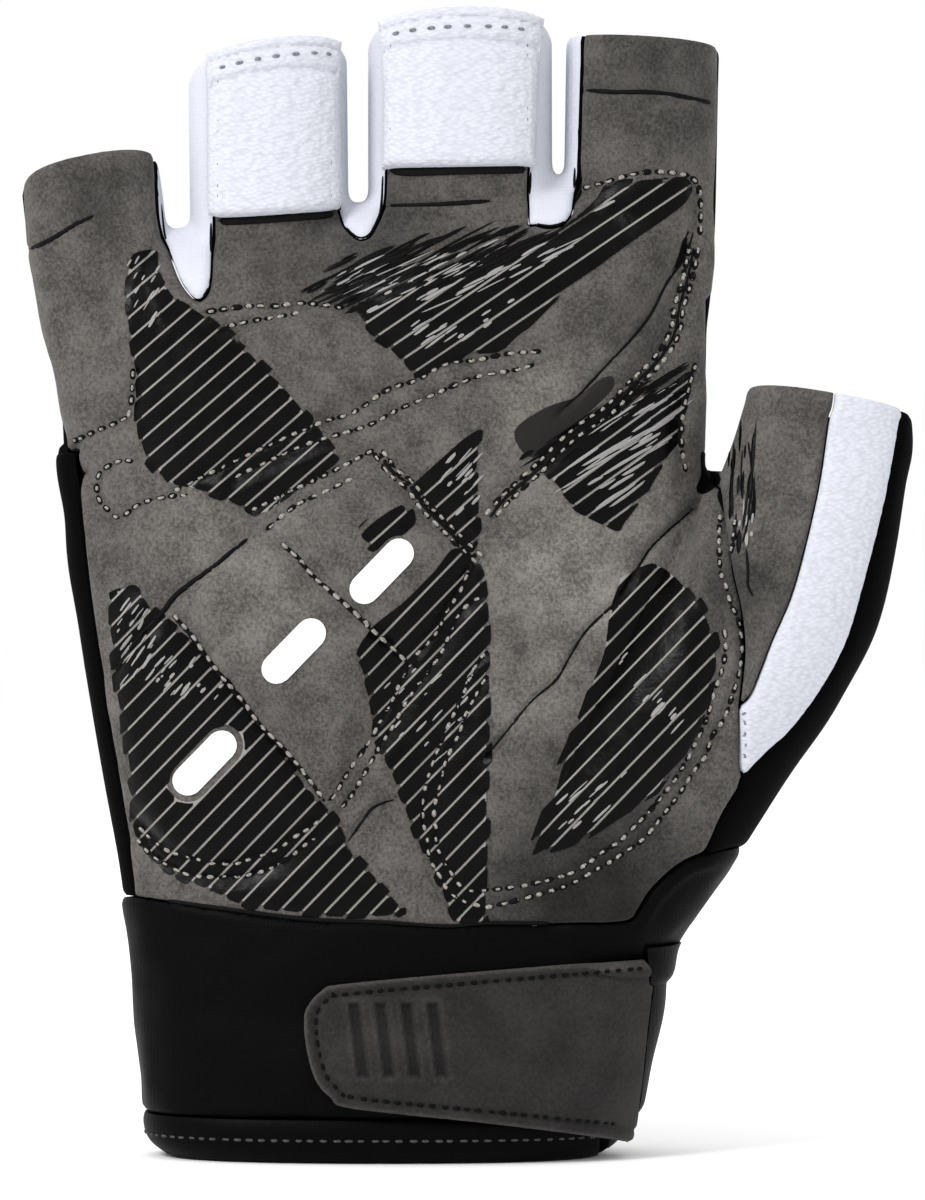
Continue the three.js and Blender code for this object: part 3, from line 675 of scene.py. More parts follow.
def with_normals(points, tris):
    """Points with their unit normals beside them, and after those their other columns."""
    a, b, c = (points[tris[:, i], :3] for i in range(3))
    face = np.cross(b - a, c - a)
    total = np.zeros((len(points), 3))
    for i in range(3):
        np.add.at(total, tris[:, i], face)
    total /= np.maximum(np.linalg.norm(total, axis=1), 1e-12)[:, None]
    return np.hstack([points[:, :3], total, points[:, 3:]])


SKIN = {}


def glove_skin():
    """The whole glove's outer surface: points with normals, and triangles; its ends run past the openings."""
    if "all" in SKIN:
        return SKIN["all"]
    points, faces, first = [], [], 0
    stacks = [body_rings(), thumb_rings(), crotch_rings()] + [finger_rings(finger) for finger in FINGERS]
    for rings in stacks:
        part, part_faces = closed_stack(rings, first)
        points.append(part)
        faces += part_faces
        first += len(part)
    mesh = bpy.data.meshes.new("forms")
    mesh.from_pydata(np.concatenate(points).tolist(), [], faces)
    forms = bpy.data.objects.new("forms", mesh)
    bpy.context.scene.collection.objects.link(forms)
    remesh = forms.modifiers.new("Remesh", "REMESH")
    remesh.mode = "VOXEL"
    remesh.voxel_size = sizes().voxel
    smooth = forms.modifiers.new("Smooth", "SMOOTH")
    smooth.factor = 0.5
    smooth.iterations = 11
    shaped = forms.evaluated_get(bpy.context.evaluated_depsgraph_get()).to_mesh()
    shaped.calc_loop_triangles()
    out = np.empty(len(shaped.vertices) * 3)
    shaped.vertices.foreach_get("co", out)
    tris = np.empty(len(shaped.loop_triangles) * 3, np.int32)
    shaped.loop_triangles.foreach_get("vertices", tris)
    bpy.data.objects.remove(forms)
    bpy.data.meshes.remove(mesh)
    tris = tris.reshape(-1, 3)
    points = out.reshape(-1, 3)
    for low, high, middle, reach, shift in DRAWN_IN:
        here = (points[:, 0] > low) & (points[:, 0] < high)
        points[:, 0] += np.where(here, shift * np.exp(-((points[:, 2] - middle) / reach) ** 2)
                                 * eased(np.abs(points[:, 0] - DRAWN_FROM) / 12), 0)
    flat = seen(points)
    columns = [depth_inside(flat, outline) for outline in outlines().values()]
    SKIN["all"] = (with_normals(np.column_stack([points] + columns), tris), tris)
    return SKIN["all"]


# Cutting and shaping cloth


def compact(points, tris):
    """Only the points that the triangles use."""
    used, index = np.unique(tris, return_inverse=True)
    return points[used], index.reshape(-1, 3)


def trimmed(cloth, room, snap=0.04):
    """The part of the cloth where room is positive, cut along its zero line."""
    points, tris = cloth
    room = np.where(np.abs(room) < snap, 0.0, room)
    inside = room >= 0
    count = inside[tris].sum(axis=1)
    whole = tris[count == 3]
    pieces = [whole]
    edge_ends = []
    layouts = []
    for kept in (1, 2):
        some = tris[count == kept]
        flags = inside[some] if kept == 1 else ~inside[some]
        turn = flags.argmax(axis=1)
        rows = np.arange(len(some))
        turned = np.column_stack([some[rows, (turn + k) % 3] for k in range(3)])
        edge_ends += [turned[:, [0, 1]], turned[:, [0, 2]]]
        layouts.append(turned)
    ends = np.concatenate(edge_ends)
    ordered = np.sort(ends, axis=1)
    unique, index = np.unique(ordered, axis=0, return_inverse=True)
    index = index.ravel()
    a, b = unique[:, 0], unique[:, 1]
    span = room[a] - room[b]
    share = np.divide(room[a], span, out=np.zeros(len(a)), where=span != 0)[:, None]
    fresh = points[a] * (1 - share) + points[b] * share
    fresh[:, 3:6] /= np.maximum(np.linalg.norm(fresh[:, 3:6], axis=1), 1e-9)[:, None]
    ids = len(points) + np.arange(len(unique))
    ids = np.where(room[a] == 0, a, np.where(room[b] == 0, b, ids))[index]
    one, two = len(layouts[0]), len(layouts[1])
    p, q = ids[:one], ids[one:2 * one]
    pieces.append(np.column_stack([layouts[0][:, 0], p, q]))
    p, q = ids[2 * one:2 * one + two], ids[2 * one + two:]
    near, far = layouts[1][:, 1], layouts[1][:, 2]
    pieces.append(np.column_stack([p, near, far]))
    pieces.append(np.column_stack([p, far, q]))
    tris = np.concatenate(pieces)
    sound = (tris[:, 0] != tris[:, 1]) & (tris[:, 1] != tris[:, 2]) & (tris[:, 0] != tris[:, 2])
    return compact(np.vstack([points, fresh]), tris[sound])


def halved(cloth):
    """The cloth with each triangle split into four."""
    points, tris = cloth
    sides = np.sort(np.concatenate([tris[:, [0, 1]], tris[:, [1, 2]], tris[:, [2, 0]]]), axis=1)
    unique, index = np.unique(sides, axis=0, return_inverse=True)
    middle = (points[unique[:, 0]] + points[unique[:, 1]]) / 2
    middle[:, 3:6] /= np.maximum(np.linalg.norm(middle[:, 3:6], axis=1), 1e-9)[:, None]
    ab, bc, ca = np.split(index.ravel() + len(points), 3)
    a, b, c = tris.T
    split = [np.column_stack(t) for t in ((a, ab, ca), (ab, b, bc), (ca, bc, c), (ab, bc, ca))]
    return np.vstack([points, middle]), np.concatenate(split)


def lifted(cloth, lift):
    """The cloth moved out along its normals, with new normals."""
    points, tris = cloth
    moved = points[:, :3] + points[:, 3:6] * np.reshape(lift, (-1, 1))
    return with_normals(np.hstack([moved, points[:, 6:]]), tris), tris


def thickened(cloth, directions, wall):
    """Closed layer of cloth: the surface, its inner side a wall's thickness in, and the rims between."""
    points, tris = cloth
    count = len(points)
    inner = points[:, :3] - directions * np.reshape(wall, (-1, 1))
    sides = np.concatenate([tris[:, [0, 1]], tris[:, [1, 2]], tris[:, [2, 0]]])
    key = sides[:, 0].astype(np.int64) * count + sides[:, 1]
    other = sides[:, 1].astype(np.int64) * count + sides[:, 0]
    a, b = sides[~np.isin(key, other)].T
    rims = [np.column_stack([b, a, a + count]), np.column_stack([b, a + count, b + count])]
    return np.vstack([points[:, :3], inner]), np.concatenate([tris, tris[:, ::-1] + count] + rims)


def painted_light_and_tone_of(points):
    """How much lighter or darker the suede is painted at each point: painted light and shade, over a random
    tone.
    """
    flat = seen(points)
    total = np.zeros(len(points))
    for place, reach, strength in PAINTED_LIGHT_ZONES:
        total += strength * np.exp(-(np.linalg.norm(flat - on_plane([place])[0], axis=1) / reach) ** 2)
    return np.clip(total + 0.12 * lumps(points, 7, 15), -0.85, 1.4)


def piece(name, points, tris, material, node=None, slot=None, sharp=50, face_count=None, painted_light_and_tone=None):
    """A Blender object from points in mm, riding on the glove; faces after face_count take the dark inside
    colour, which on cut edges is painted shade in the seams, and the tone given tells how much lighter or
    darker the suede is painted at each point, as painted light and shade over a random tone."""
    mesh = bpy.data.meshes.new(name)
    mesh.vertices.add(len(points))
    mesh.vertices.foreach_set("co", (points * MM).astype(np.float32).ravel())
    mesh.loops.add(len(tris) * 3)
    mesh.loops.foreach_set("vertex_index", tris.astype(np.int32).ravel())
    mesh.polygons.add(len(tris))
    mesh.polygons.foreach_set("loop_start", np.arange(0, len(tris) * 3, 3, dtype=np.int32))
    mesh.update(calc_edges=True)
    mesh.materials.append(material)
    if painted_light_and_tone is not None:
        mesh.attributes.new("painted_light_and_tone", "FLOAT", "POINT").data.foreach_set("value", painted_light_and_tone.astype(np.float32))
    # The dark inside colour goes on the inner face and on the cut edges, where it is painted shade in the
    # seams
    if face_count:
        mesh.materials.append(material_of("lining_and_painted_seam_shade"))
        mesh.polygons.foreach_set("material_index", (np.arange(len(tris)) >= face_count).astype(np.int32))
    mesh.validate()
    mesh.shade_smooth()
    mesh.set_sharp_from_angle(angle=math.radians(sharp))
    made = bpy.data.objects.new(name, mesh)
    bpy.context.scene.collection.objects.link(made)
    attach(made, "root")
    if node:
        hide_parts(node)
    return made


# Where each panel lies: every room is a distance in mm, positive inside the panel


def to_front(points):
    """Distance in front of the plane between palm and back."""
    return -points[:, 1]


def zone(*lines):
    """Closed outline of smooth lines one after the other, from pixels."""
    return np.concatenate([drawn(line) if len(line) > 2 else on_plane(line) for line in lines])


def tip_arch(finger, x):
    """How far a finger's open end drops from its middle towards its sides."""
    across = np.clip(np.abs(x - finger["tip"] * HAND_WIDTH) / (finger["width"] * FINGER_WIDTH / 2), 0, 1)
    return finger["width"] * (TIP_ARCH * across ** 2 + TIP_CORNER * across ** 8)


def tip_room(points):
    """Distance below the open end of a finger or the thumb."""
    x, y, z = points[:, 0], points[:, 1], points[:, 2]
    room = np.full(len(points), 99.0)
    middles = [finger["tip"] * HAND_WIDTH for finger in FINGERS]
    reaches = [finger["width"] * FINGER_WIDTH / 2 for finger in FINGERS]
    cuts = [-999.0]
    cuts += [(middles[i] + reaches[i] + middles[i + 1] - reaches[i + 1]) / 2 for i in range(3)]
    cuts.append(THUMB_SIDE)
    for finger, middle, low, high in zip(FINGERS, middles, cuts, cuts[1:]):
        here = (x > low) & (x <= high) & (z > CROTCH - 12)
        level = finger_tip(finger) + finger["rise"] * (x - middle) - finger["lean"] * y
        room = np.where(here, level - tip_arch(finger, x) * finger["arch"] - z, room)
    inner, outer = THUMB_ROWS[-1][1] * THUMB_REACH, THUMB_ROWS[-1][2] * THUMB_REACH
    middle_y = (THUMB_ROWS[-1][4] - THUMB_ROWS[-1][3]) / 2 * THUMB_DEPTH
    level = CUFF_HEIGHT + THUMB_HEIGHT + 0.3 + THUMB_TIP_RISE * (x - (inner + outer) / 2)
    level -= THUMB_LEAN * (y - middle_y)
    return np.where((x > THUMB_SIDE) & (z > CUFF_HEIGHT + 0.7 * THUMB_HEIGHT), level - z, room)


def outlines():
    """The closed outlines that the panels are cut by, in the seen plane."""
    if "outlines" not in SKIN:
        below = [(FAR_RIGHT, 846), (FAR_RIGHT, BELOW), (FAR_LEFT, BELOW), (FAR_LEFT, 896)]
        heel = [HEEL_SEAM[1:], [(626, 960)], [(FAR_RIGHT, BELOW), (FAR_RIGHT, 250)]]
        SKIN["outlines"] = {
            "cuff": zone(CUFF_SEAM, below),
            "thumb_side": zone(THUMB_SEAM, [(742, 768), (745, 777)], *heel),
            "thumb": zone(THUMB_SEAM, WIPE_SEAM[-2::-1]),
            "wipe": zone(WIPE_SEAM, [(742, 768)], EDGE_SEAM[::-1]),
            "edge": zone(EDGE_SEAM, *heel),
            "strip": zone(SIDE_STRIP, [(FAR_LEFT, 960), (FAR_LEFT, 452)]),
            **{name: zone(line) for name, line in WEB_LINES.items()},
        }
    return SKIN["outlines"]


def depths(points):
    """How deep each point lies in each outline, from its columns."""
    return {name: points[:, 6 + i] for i, name in enumerate(outlines())}


def palm_room(points):
    """Front of the hand, between webs, thumb, side strip and cuff."""
    d = depths(points)
    webs = np.maximum.reduce([d[name] for name in WEB_LINES])
    return np.minimum.reduce([to_front(points), -webs, -d["thumb_side"], -d["strip"], -d["cuff"]])


def back_room(points):
    """Back of the hand, with the strip beside the palm and the thumb's outer edge."""
    d = depths(points)
    webs = np.maximum.reduce([d[name] for name in WEB_LINES])
    own = np.maximum.reduce([-to_front(points), d["strip"], d["edge"]])
    return np.minimum.reduce([own, -webs, -d["cuff"]])


def web_room(name):
    """Room of a web between two fingers, through from front to back."""
    return lambda points: depths(points)[name]


def front_room(name):
    """Room of the front part of an outline."""
    return lambda points: np.minimum(to_front(points), depths(points)[name])


def slit_depth(points):
    """Distance into the slit of the cuff, which is on the palm side only."""
    return np.where(points[:, 1] < 0, depth_inside(seen(points), on_plane(SLIT)), -9.0)


def cuff_room(points):
    """The cuff above its hem, either side of the slit."""
    return np.minimum.reduce([depths(points)["cuff"], points[:, 2] - HEM_HEIGHT, -slit_depth(points)])


def hem_room(points):
    """The hem below the cuff, either side of the slit."""
    return np.minimum(HEM_HEIGHT - points[:, 2], -slit_depth(points))


def ends_room(points):
    """Distance to the nearest opening of the glove."""
    return np.minimum(tip_room(points), points[:, 2])


def cut_panel(room, refine=0):
    """Cloth of one panel, with its distance to the seams round it and to the glove's openings."""
    cloth = glove_skin()
    cloth = trimmed(cloth, room(cloth[0]) - sizes().seam_gap / 2)
    cloth = trimmed(cloth, ends_room(cloth[0]))
    for _ in range(refine):
        cloth = halved(cloth)
    return cloth, room(cloth[0]) - sizes().seam_gap / 2, ends_room(cloth[0])


def edge_roll(room, depth=0.8, width=1.1):
    """Cloth turned in where it meets a seam."""
    return -depth * (1 - np.clip(room / width, 0, 1)) ** 2.4


def rolled(seam, end, depth=0.8):
    """Cloth turned in at its seams, and a little at the glove's openings."""
    return edge_roll(seam, depth) + edge_roll(end, 0.3, 1.0)


def sewn(name, key, cloth, lift, wall, material, node, slot, painted_light_and_tone=None, face_count=None):
    """Makes one piece of cut cloth: raised by lift, kept for what lies on it, and given its wall."""
    SKIN[key] = lifted(cloth, lift)
    points, tris = thickened(SKIN[key], cloth[0][:, 3:6], wall)
    painted_light_and_tone = painted_light_and_tone(points) if callable(painted_light_and_tone) else painted_light_and_tone
    return piece(name, points, tris, material_of(material), node, slot, face_count=face_count, painted_light_and_tone=painted_light_and_tone)


# Materials


def add_node(tree, kind, inputs=None, **settings):
    """A shader node with its settings, and its inputs set or linked."""
    made = tree.nodes.new("ShaderNode" + kind)
    for name, value in settings.items():
        setattr(made, name, value)
    for name, value in (inputs or {}).items():
        if isinstance(value, bpy.types.NodeSocket):
            tree.links.new(value, made.inputs[name])
        else:
            made.inputs[name].default_value = value
    return made


def per_metre(mm):
    """Texture scale for a pattern that repeats each so many mm."""
    return 1 / (mm * MM)


def new_material(name):
    """Empty material with its shader, and object coordinates."""
    material = bpy.data.materials.new(name)
    material.use_nodes = True
    tree = material.node_tree
    shader = tree.nodes["Principled BSDF"]
    place = add_node(tree, "TexCoord").outputs["Object"]
    return material, tree, shader, place


def noise(tree, place, size, detail, roughness=0.5):
    """Noise with patches about size mm across."""
    return add_node(tree, "TexNoise", {"Vector": place, "Scale": per_metre(size), "Detail": detail,
                                       "Roughness": roughness})


def darker(colour, share):
    """A colour with only a share of its light."""
    return tuple(c * share for c in colour[:3]) + (1.0,)


def coloured(tree, shader, factor, first, second):
    """Colour from the first to the second by a factor."""
    mix = add_node(tree, "Mix", {"Factor": factor, "A": tuple(first), "B": tuple(second)}, data_type="RGBA")
    tree.links.new(mix.outputs["Result"], shader.inputs["Base Color"])


def bumped(tree, shader, height, strength, depth, invert=False):
    """Fine relief by a pattern, its depth in mm."""
    bump = add_node(tree, "Bump", {"Height": height, "Strength": strength, "Distance": depth * MM},
                    invert=invert)
    tree.links.new(bump.outputs["Normal"], shader.inputs["Normal"])


def napped(name, light, shade, depth=0.12):
    """Synthetic suede, brushed: a dull grey pile, finely mottled where fibres lie different ways, soft at
    grazing light; its colour is scaled by a point attribute of painted light and shade over a random tone."""
    material, tree, shader, place = new_material(name)
    fine = noise(tree, place, 0.5, 6.0, 0.85)
    broad = noise(tree, place, 5, 2.0)
    weak = add_node(tree, "Math", {0: broad.outputs["Fac"], 1: 0.35}, operation="MULTIPLY")
    blend = add_node(tree, "Math", {0: fine.outputs["Fac"], 1: weak.outputs[0]}, operation="ADD")
    spread = add_node(tree, "MapRange", {"Value": blend.outputs[0], "From Min": 0.56, "From Max": 0.79})
    mix = add_node(tree, "Mix", {"Factor": spread.outputs[0], "A": shade, "B": light}, data_type="RGBA")
    # Painted light and shade, over a random tone, read from a point attribute and scaling the suede's colour
    painted_light_and_tone = add_node(tree, "Attribute", attribute_name="painted_light_and_tone")
    tone = add_node(tree, "Math", {0: painted_light_and_tone.outputs["Fac"], 1: 1.0}, operation="ADD")
    toned = add_node(tree, "VectorMath", {0: mix.outputs["Result"], "Scale": tone.outputs[0]},
                     operation="SCALE")
    tree.links.new(toned.outputs[0], shader.inputs["Base Color"])
    fibre = noise(tree, place, 0.4, 4.0, 0.7)
    bumped(tree, shader, fibre.outputs["Fac"], 0.8, depth)
    shader.inputs["Roughness"].default_value = 0.95
    shader.inputs["Specular IOR Level"].default_value = 0.15
    shader.inputs["Sheen Weight"].default_value = 0.06
    shader.inputs["Sheen Roughness"].default_value = 0.6
    return material


def knitted(name, colour, pitch, depth, contrast=0.12, roughness=0.85, gloss=0.03):
    """Knitted cloth: fine rows of loops in a plain colour, with slight shade between the loops."""
    material, tree, shader, place = new_material(name)
    warp = noise(tree, place, 14, 2.0)
    loops = add_node(tree, "TexVoronoi", {"Vector": place, "Scale": per_metre(pitch), "Randomness": 0.35})
    shade = add_node(tree, "MapRange", {"Value": loops.outputs["Distance"], "From Max": 0.7, "To Max": 1.0})
    blend = add_node(tree, "Math", {0: shade.outputs[0], 1: warp.outputs["Fac"]}, operation="MULTIPLY")
    dark = darker(colour, 1 - 2 * contrast)
    coloured(tree, shader, blend.outputs[0], colour, dark)
    bumped(tree, shader, loops.outputs["Distance"], 0.8, depth, invert=True)
    shader.inputs["Roughness"].default_value = roughness
    shader.inputs["Specular IOR Level"].default_value = gloss
    return material


def looped(name, colour, pitch, depth):
    """Cotton towelling: rows of small loops on the slant, bright on top with soft shade between them."""
    material, tree, shader, place = new_material(name)
    drift = noise(tree, place, 2.5, 2.0)
    sway = add_node(tree, "VectorMath", {0: drift.outputs["Color"], "Scale": 0.5 * pitch * MM},
                    operation="SCALE")
    moved = add_node(tree, "VectorMath", {0: place, 1: sway.outputs[0]}, operation="ADD")
    turned = add_node(tree, "Mapping", {"Vector": moved.outputs[0], "Rotation": (0, math.radians(35), 0),
                                        "Scale": (0.6, 1.0, 1.25)})
    loops = add_node(tree, "TexVoronoi", {"Vector": turned.outputs[0], "Scale": per_metre(pitch),
                                          "Randomness": 0.6, "Smoothness": 0.4}, feature="SMOOTH_F1")
    shade = add_node(tree, "MapRange", {"Value": loops.outputs["Distance"], "From Min": 0.25,
                                        "From Max": 0.75})
    dark = darker(colour, 0.84)
    coloured(tree, shader, shade.outputs[0], colour, dark)
    bumped(tree, shader, loops.outputs["Distance"], 1.0, depth, invert=True)
    shader.inputs["Roughness"].default_value = 0.95
    shader.inputs["Specular IOR Level"].default_value = 0.1
    shader.inputs["Sheen Weight"].default_value = 0.1
    return material


def printed(name, colour, roughness, gloss=0.08):
    """Screen-printed silicone: a smooth raised film with soft uneven highlights."""
    material, tree, shader, place = new_material(name)
    patch = noise(tree, place, 3.5, 4.0, 0.6)
    dull = add_node(tree, "MapRange", {"Value": patch.outputs["Fac"], "From Min": 0.35, "From Max": 0.65,
                                       "To Min": roughness - 0.1, "To Max": roughness + 0.2})
    tree.links.new(dull.outputs[0], shader.inputs["Roughness"])
    lighter = tuple(min(1, c * 1.5 + 0.001) for c in colour[:3]) + (1.0,)
    coloured(tree, shader, patch.outputs["Fac"], colour, lighter)
    grain = noise(tree, place, 0.9, 3.0)
    bumped(tree, shader, grain.outputs["Fac"], 0.6, 0.12)
    shader.inputs["IOR"].default_value = 1.43
    shader.inputs["Specular IOR Level"].default_value = gloss
    return material


def twisted(name, colour):
    """Polyester sewing thread: plies twisted at a slant, with a slight lustre."""
    material, tree, shader, place = new_material(name)
    plies = add_node(tree, "TexWave", {"Vector": place, "Scale": per_metre(1.2), "Distortion": 1.5},
                     bands_direction="DIAGONAL")
    dark = darker(colour, 0.6)
    coloured(tree, shader, plies.outputs["Fac"], dark, colour)
    bumped(tree, shader, plies.outputs["Fac"], 0.5, 0.05)
    shader.inputs["Roughness"].default_value = 0.6
    shader.inputs["Specular IOR Level"].default_value = 0.08
    return material


MATERIALS = {}


def material_of(name):
    """One of the glove's finishes, made once."""
    c = colours()
    makers = {
        "suede": lambda: napped("brushed_synthetic_suede", c.suede, c.suede_shade),
        "strap_suede": lambda: napped("brushed_strap_suede", c.strap_suede, c.strap_shade, depth=0.1),
        "lining_and_painted_seam_shade": lambda: knitted("knitted_inner_face_and_painted_seam_shade", c.lining_and_painted_seam_shade, 0.7, 0.08, gloss=0.05),
        "black_cloth": lambda: knitted("knitted_black_elastane", c.black_cloth, 0.6, 0.1),
        "cuff_cloth": lambda: knitted("laminated_cuff_foam", c.cuff_cloth, 0.5, 0.06, roughness=0.5,
                                      gloss=0.04),
        "white_cloth": lambda: knitted("knitted_white_polyester", c.white_cloth, 0.55, 0.08, contrast=0.05),
        "towelling": lambda: looped("looped_white_towelling", c.towelling, 0.62, 0.16),
        "grip_print": lambda: printed("printed_black_silicone", c.grip_print, 0.3),
        "painted_highlight_colour": lambda: printed("painted_highlight_silicone", c.painted_highlight_colour, 0.4),
        "bare_line": lambda: printed("printed_thin_ground", c.bare_line, 0.6),
        "film": lambda: printed("printed_dark_film", c.film, 0.5, gloss=0.15),
        "white_print": lambda: printed("printed_white_silicone", c.white_print, 0.5),
        "palm_thread": lambda: twisted("twisted_grey_thread", c.palm_thread),
        "tab_thread": lambda: twisted("twisted_pale_thread", c.tab_thread),
        "black_thread_and_painted_shade": lambda: twisted("twisted_thread_and_painted_shade", c.black_thread_and_painted_shade),
        "strap_thread": lambda: twisted("twisted_strap_thread", c.strap_thread),
        "hem_thread": lambda: twisted("twisted_hem_thread", c.hem_thread),
    }
    if name not in MATERIALS:
        MATERIALS[name] = makers[name]()
    return MATERIALS[name]


# Relief of the palm


def stitch_paths():
    """Each single row of pale palm stitching, in the seen plane."""
    rows = [drawn(row) for row in STITCH_ROWS]
    return rows + [row for line in STITCH_LINES for row in beside(line, ROW_DISTANCE / 2)]


def groove(flat, line, depth, width, reach=4):
    """A groove along a line of the seen plane."""
    return depth * np.exp(-(distance(flat, line, reach=reach) / width) ** 2)


def palm_relief(points):
    """Height of pads, sewn grooves, creases and hems above the palm's plain surface."""
    flat = seen(points)
    lift = np.zeros(len(points))
    for outline in PADS:
        inside = depth_inside(flat, drawn(outline, closed=True, steps=4), reach=30)
        lift = np.maximum(lift, sizes().pad_rise * eased(inside / 5.5) ** 0.8)
    rows = stitch_paths()
    black = [drawn(row) for row in BLACK_ROWS]
    lift -= np.maximum.reduce([groove(flat, row[::2], 0.75, 1.7, 7) for row in rows + black])
    lift -= np.maximum.reduce([groove(flat, row[::2], 0.35, 0.5) for row in rows])
    lift -= np.maximum.reduce([groove(flat, row[::2], 0.5, 0.45) for row in black])
    for line in CREASES:
        lift -= groove(flat, drawn(line, steps=4), 0.8, 0.55)
    for line in FINGER_HEMS:
        lift -= groove(flat, drawn(line, steps=4), 0.55, 0.4)
    fold = distance(flat, drawn(ROOT_FOLD, steps=4), reach=6)
    lift += 1.3 * np.exp(-(fold / 1.3) ** 2)
    left, height = points[:, 0], points[:, 2]
    lift -= 0.75 * np.exp(-((height - 99.5) / 4) ** 2) * eased((-44 - left) / 2)
    lift += 0.3 * lumps(points, 9, 3) + 0.07 * lumps(points, 2.4, 4)
    return lift


class GLOVE_OT_palm(bpy.types.Operator):
    """Grey suede of the palm and finger fronts, over its gel pads"""

    bl_idname = "glove.palm"
    bl_label = "Palm"

    def execute(self, context):
        cloth, seam, end = cut_panel(palm_room)
        lift = palm_relief(cloth[0]) + rolled(seam, end)
        # The palm's suede is painted lighter where light falls and darker where shade falls, over a random
        # tone
        sewn("palm_suede", "palm", cloth, lift, sizes().suede_wall + lift * 0.8, "suede", "palm_panel",
             "suede", painted_light_and_tone=painted_light_and_tone_of, face_count=len(cloth[1]))
        return {"FINISHED"}


class GLOVE_OT_back(bpy.types.Operator):
    """Black stretch cloth of the back, and its strips that show beside the palm"""

    bl_idname = "glove.back"
    bl_label = "Back"

    def execute(self, context):
        cloth, seam, end = cut_panel(back_room)
        lift = rolled(seam, end, 0.4)
        lift += 0.25 * lumps(cloth[0][:, :3] * [1, 1, 0.6], 8, 11)
        strip = depths(cloth[0])["strip"]
        lift += 0.8 * eased((strip + 2) / 2) * eased((cloth[0][:, 2] - 88) / 9) * (cloth[0][:, 2] < 99)
        for row in back_rows():
            lift -= groove(cloth[0][:, [0, 2]], row[::2], 0.45, 0.8) * (cloth[0][:, 1] > 2)
        sewn("back_cloth", "back", cloth, lift, sizes().cloth_wall, "black_cloth", "back_panel",
             "stretch_cloth", face_count=len(cloth[1]))
        return {"FINISHED"}


class GLOVE_OT_webs(bpy.types.Operator):
    """White strips between the fingers"""

    bl_idname = "glove.webs"
    bl_label = "Finger webs"

    def execute(self, context):
        for name in WEB_LINES:
            cloth, seam, end = cut_panel(web_room(name))
            # Only the cut edges of the white webs take the dark inside colour: painted shade in the seams
            sewn(name + "_cloth", name, cloth, rolled(seam, end, 0.5), sizes().cloth_wall, "white_cloth",
                 name, "white_cloth", face_count=2 * len(cloth[1]))
        return {"FINISHED"}


class GLOVE_OT_thumb(bpy.types.Operator):
    """Suede of the inside of the thumb and its towelling wipe"""

    bl_idname = "glove.thumb"
    bl_label = "Thumb"

    def execute(self, context):
        cloth, seam, end = cut_panel(front_room("thumb"))
        lift = rolled(seam, end) + 0.2 * lumps(cloth[0], 7, 5)
        # The thumb's suede gets the same painted light and shade, over a random tone
        sewn("thumb_suede", "thumb", cloth, lift, sizes().suede_wall, "suede", "thumb_panel", "suede",
             painted_light_and_tone=painted_light_and_tone_of, face_count=len(cloth[1]))
        cloth, seam, end = cut_panel(front_room("wipe"), refine=1)
        rise = 0.3
        lift = rise + edge_roll(seam, 0.6, 1.2) + edge_roll(end, 0.3, 1.0) + 0.06 * lumps(cloth[0], 0.8, 6)
        sewn("thumb_wipe_towelling", "wipe", cloth, lift, sizes().cloth_wall + rise, "towelling",
             "thumb_wipe", "towelling")
        return {"FINISHED"}


class GLOVE_OT_tabs(bpy.types.Operator):
    """Towelling tabs sewn over the fronts of the ring and middle finger"""

    bl_idname = "glove.tabs"
    bl_label = "Pull tabs"

    def execute(self, context):
        for name, outline in TAB_OUTLINES.items():
            edge = drawn(outline, closed=True)

            def tab_room(points):
                return np.minimum(depth_inside(seen(points), edge), to_front(points) - 1)

            cloth, seam, end = cut_panel(tab_room, refine=1)
            around = np.minimum(seam, end + 0.4)
            crown = sizes().tab_thickness * (1 - (1 - np.clip(around / 1.5, 0, 1)) ** 2) ** 0.5
            crown -= 0.35 * np.exp(-((end - TAB_ROW) / 0.35) ** 2) + 0.25 * (end < TAB_ROW)
            crown -= 0.55 * np.exp(-((end - TAB_HEM) / 0.5) ** 2) * (seam > 0.8)
            loops = 0.1 * lumps(cloth[0], 0.75, 7) * np.clip(around, 0, 1)
            wall = 0.1 + np.maximum(crown, 0.05) + loops
            sewn(name + "_towelling", "on_" + name, cloth, TAB_CLEARANCE + wall, wall, "towelling", name,
                 "towelling")
        return {"FINISHED"}


class GLOVE_OT_cuff(bpy.types.Operator):
    """Foam cuff and its folded hem"""

    bl_idname = "glove.cuff"
    bl_label = "Cuff"

    def execute(self, context):
        cloth, seam, _ = cut_panel(cuff_room)
        lift = edge_roll(seam, 0.5) + 0.3 * lumps(cloth[0][:, :3] * [0.6, 1, 1.2], 8, 12)
        lift += 0.16 * lumps(cloth[0][:, :3] * [0.8, 1, 1], 3.5, 14)
        across = cloth[0][:, 0]
        heel = eased((across - 33) / 3) * eased((46.5 - across) / 4)
        lift += 0.4 * np.exp(-((seam - 1.0) / 0.7) ** 2) * heel
        made = sewn("cuff_foam", "cuff", cloth, lift, sizes().cuff_wall, "cuff_cloth", "cuff_band",
                    "cuff_foam")
        cloth, _, _ = cut_panel(hem_room)
        share = np.clip(cloth[0][:, 2] / HEM_HEIGHT, 0, 1)
        bulge = np.sqrt(np.clip(1 - (2 * share - 1) ** 2, 0, 1))
        lift = 0.9 * bulge - 0.3 + 0.08 * lumps(cloth[0], 4, 13)
        sewn("cuff_hem_fold", "hem", cloth, lift, sizes().cuff_wall + lift * 1.6, "cuff_cloth", "cuff_hem",
             "cuff_foam")
        return {"FINISHED"}


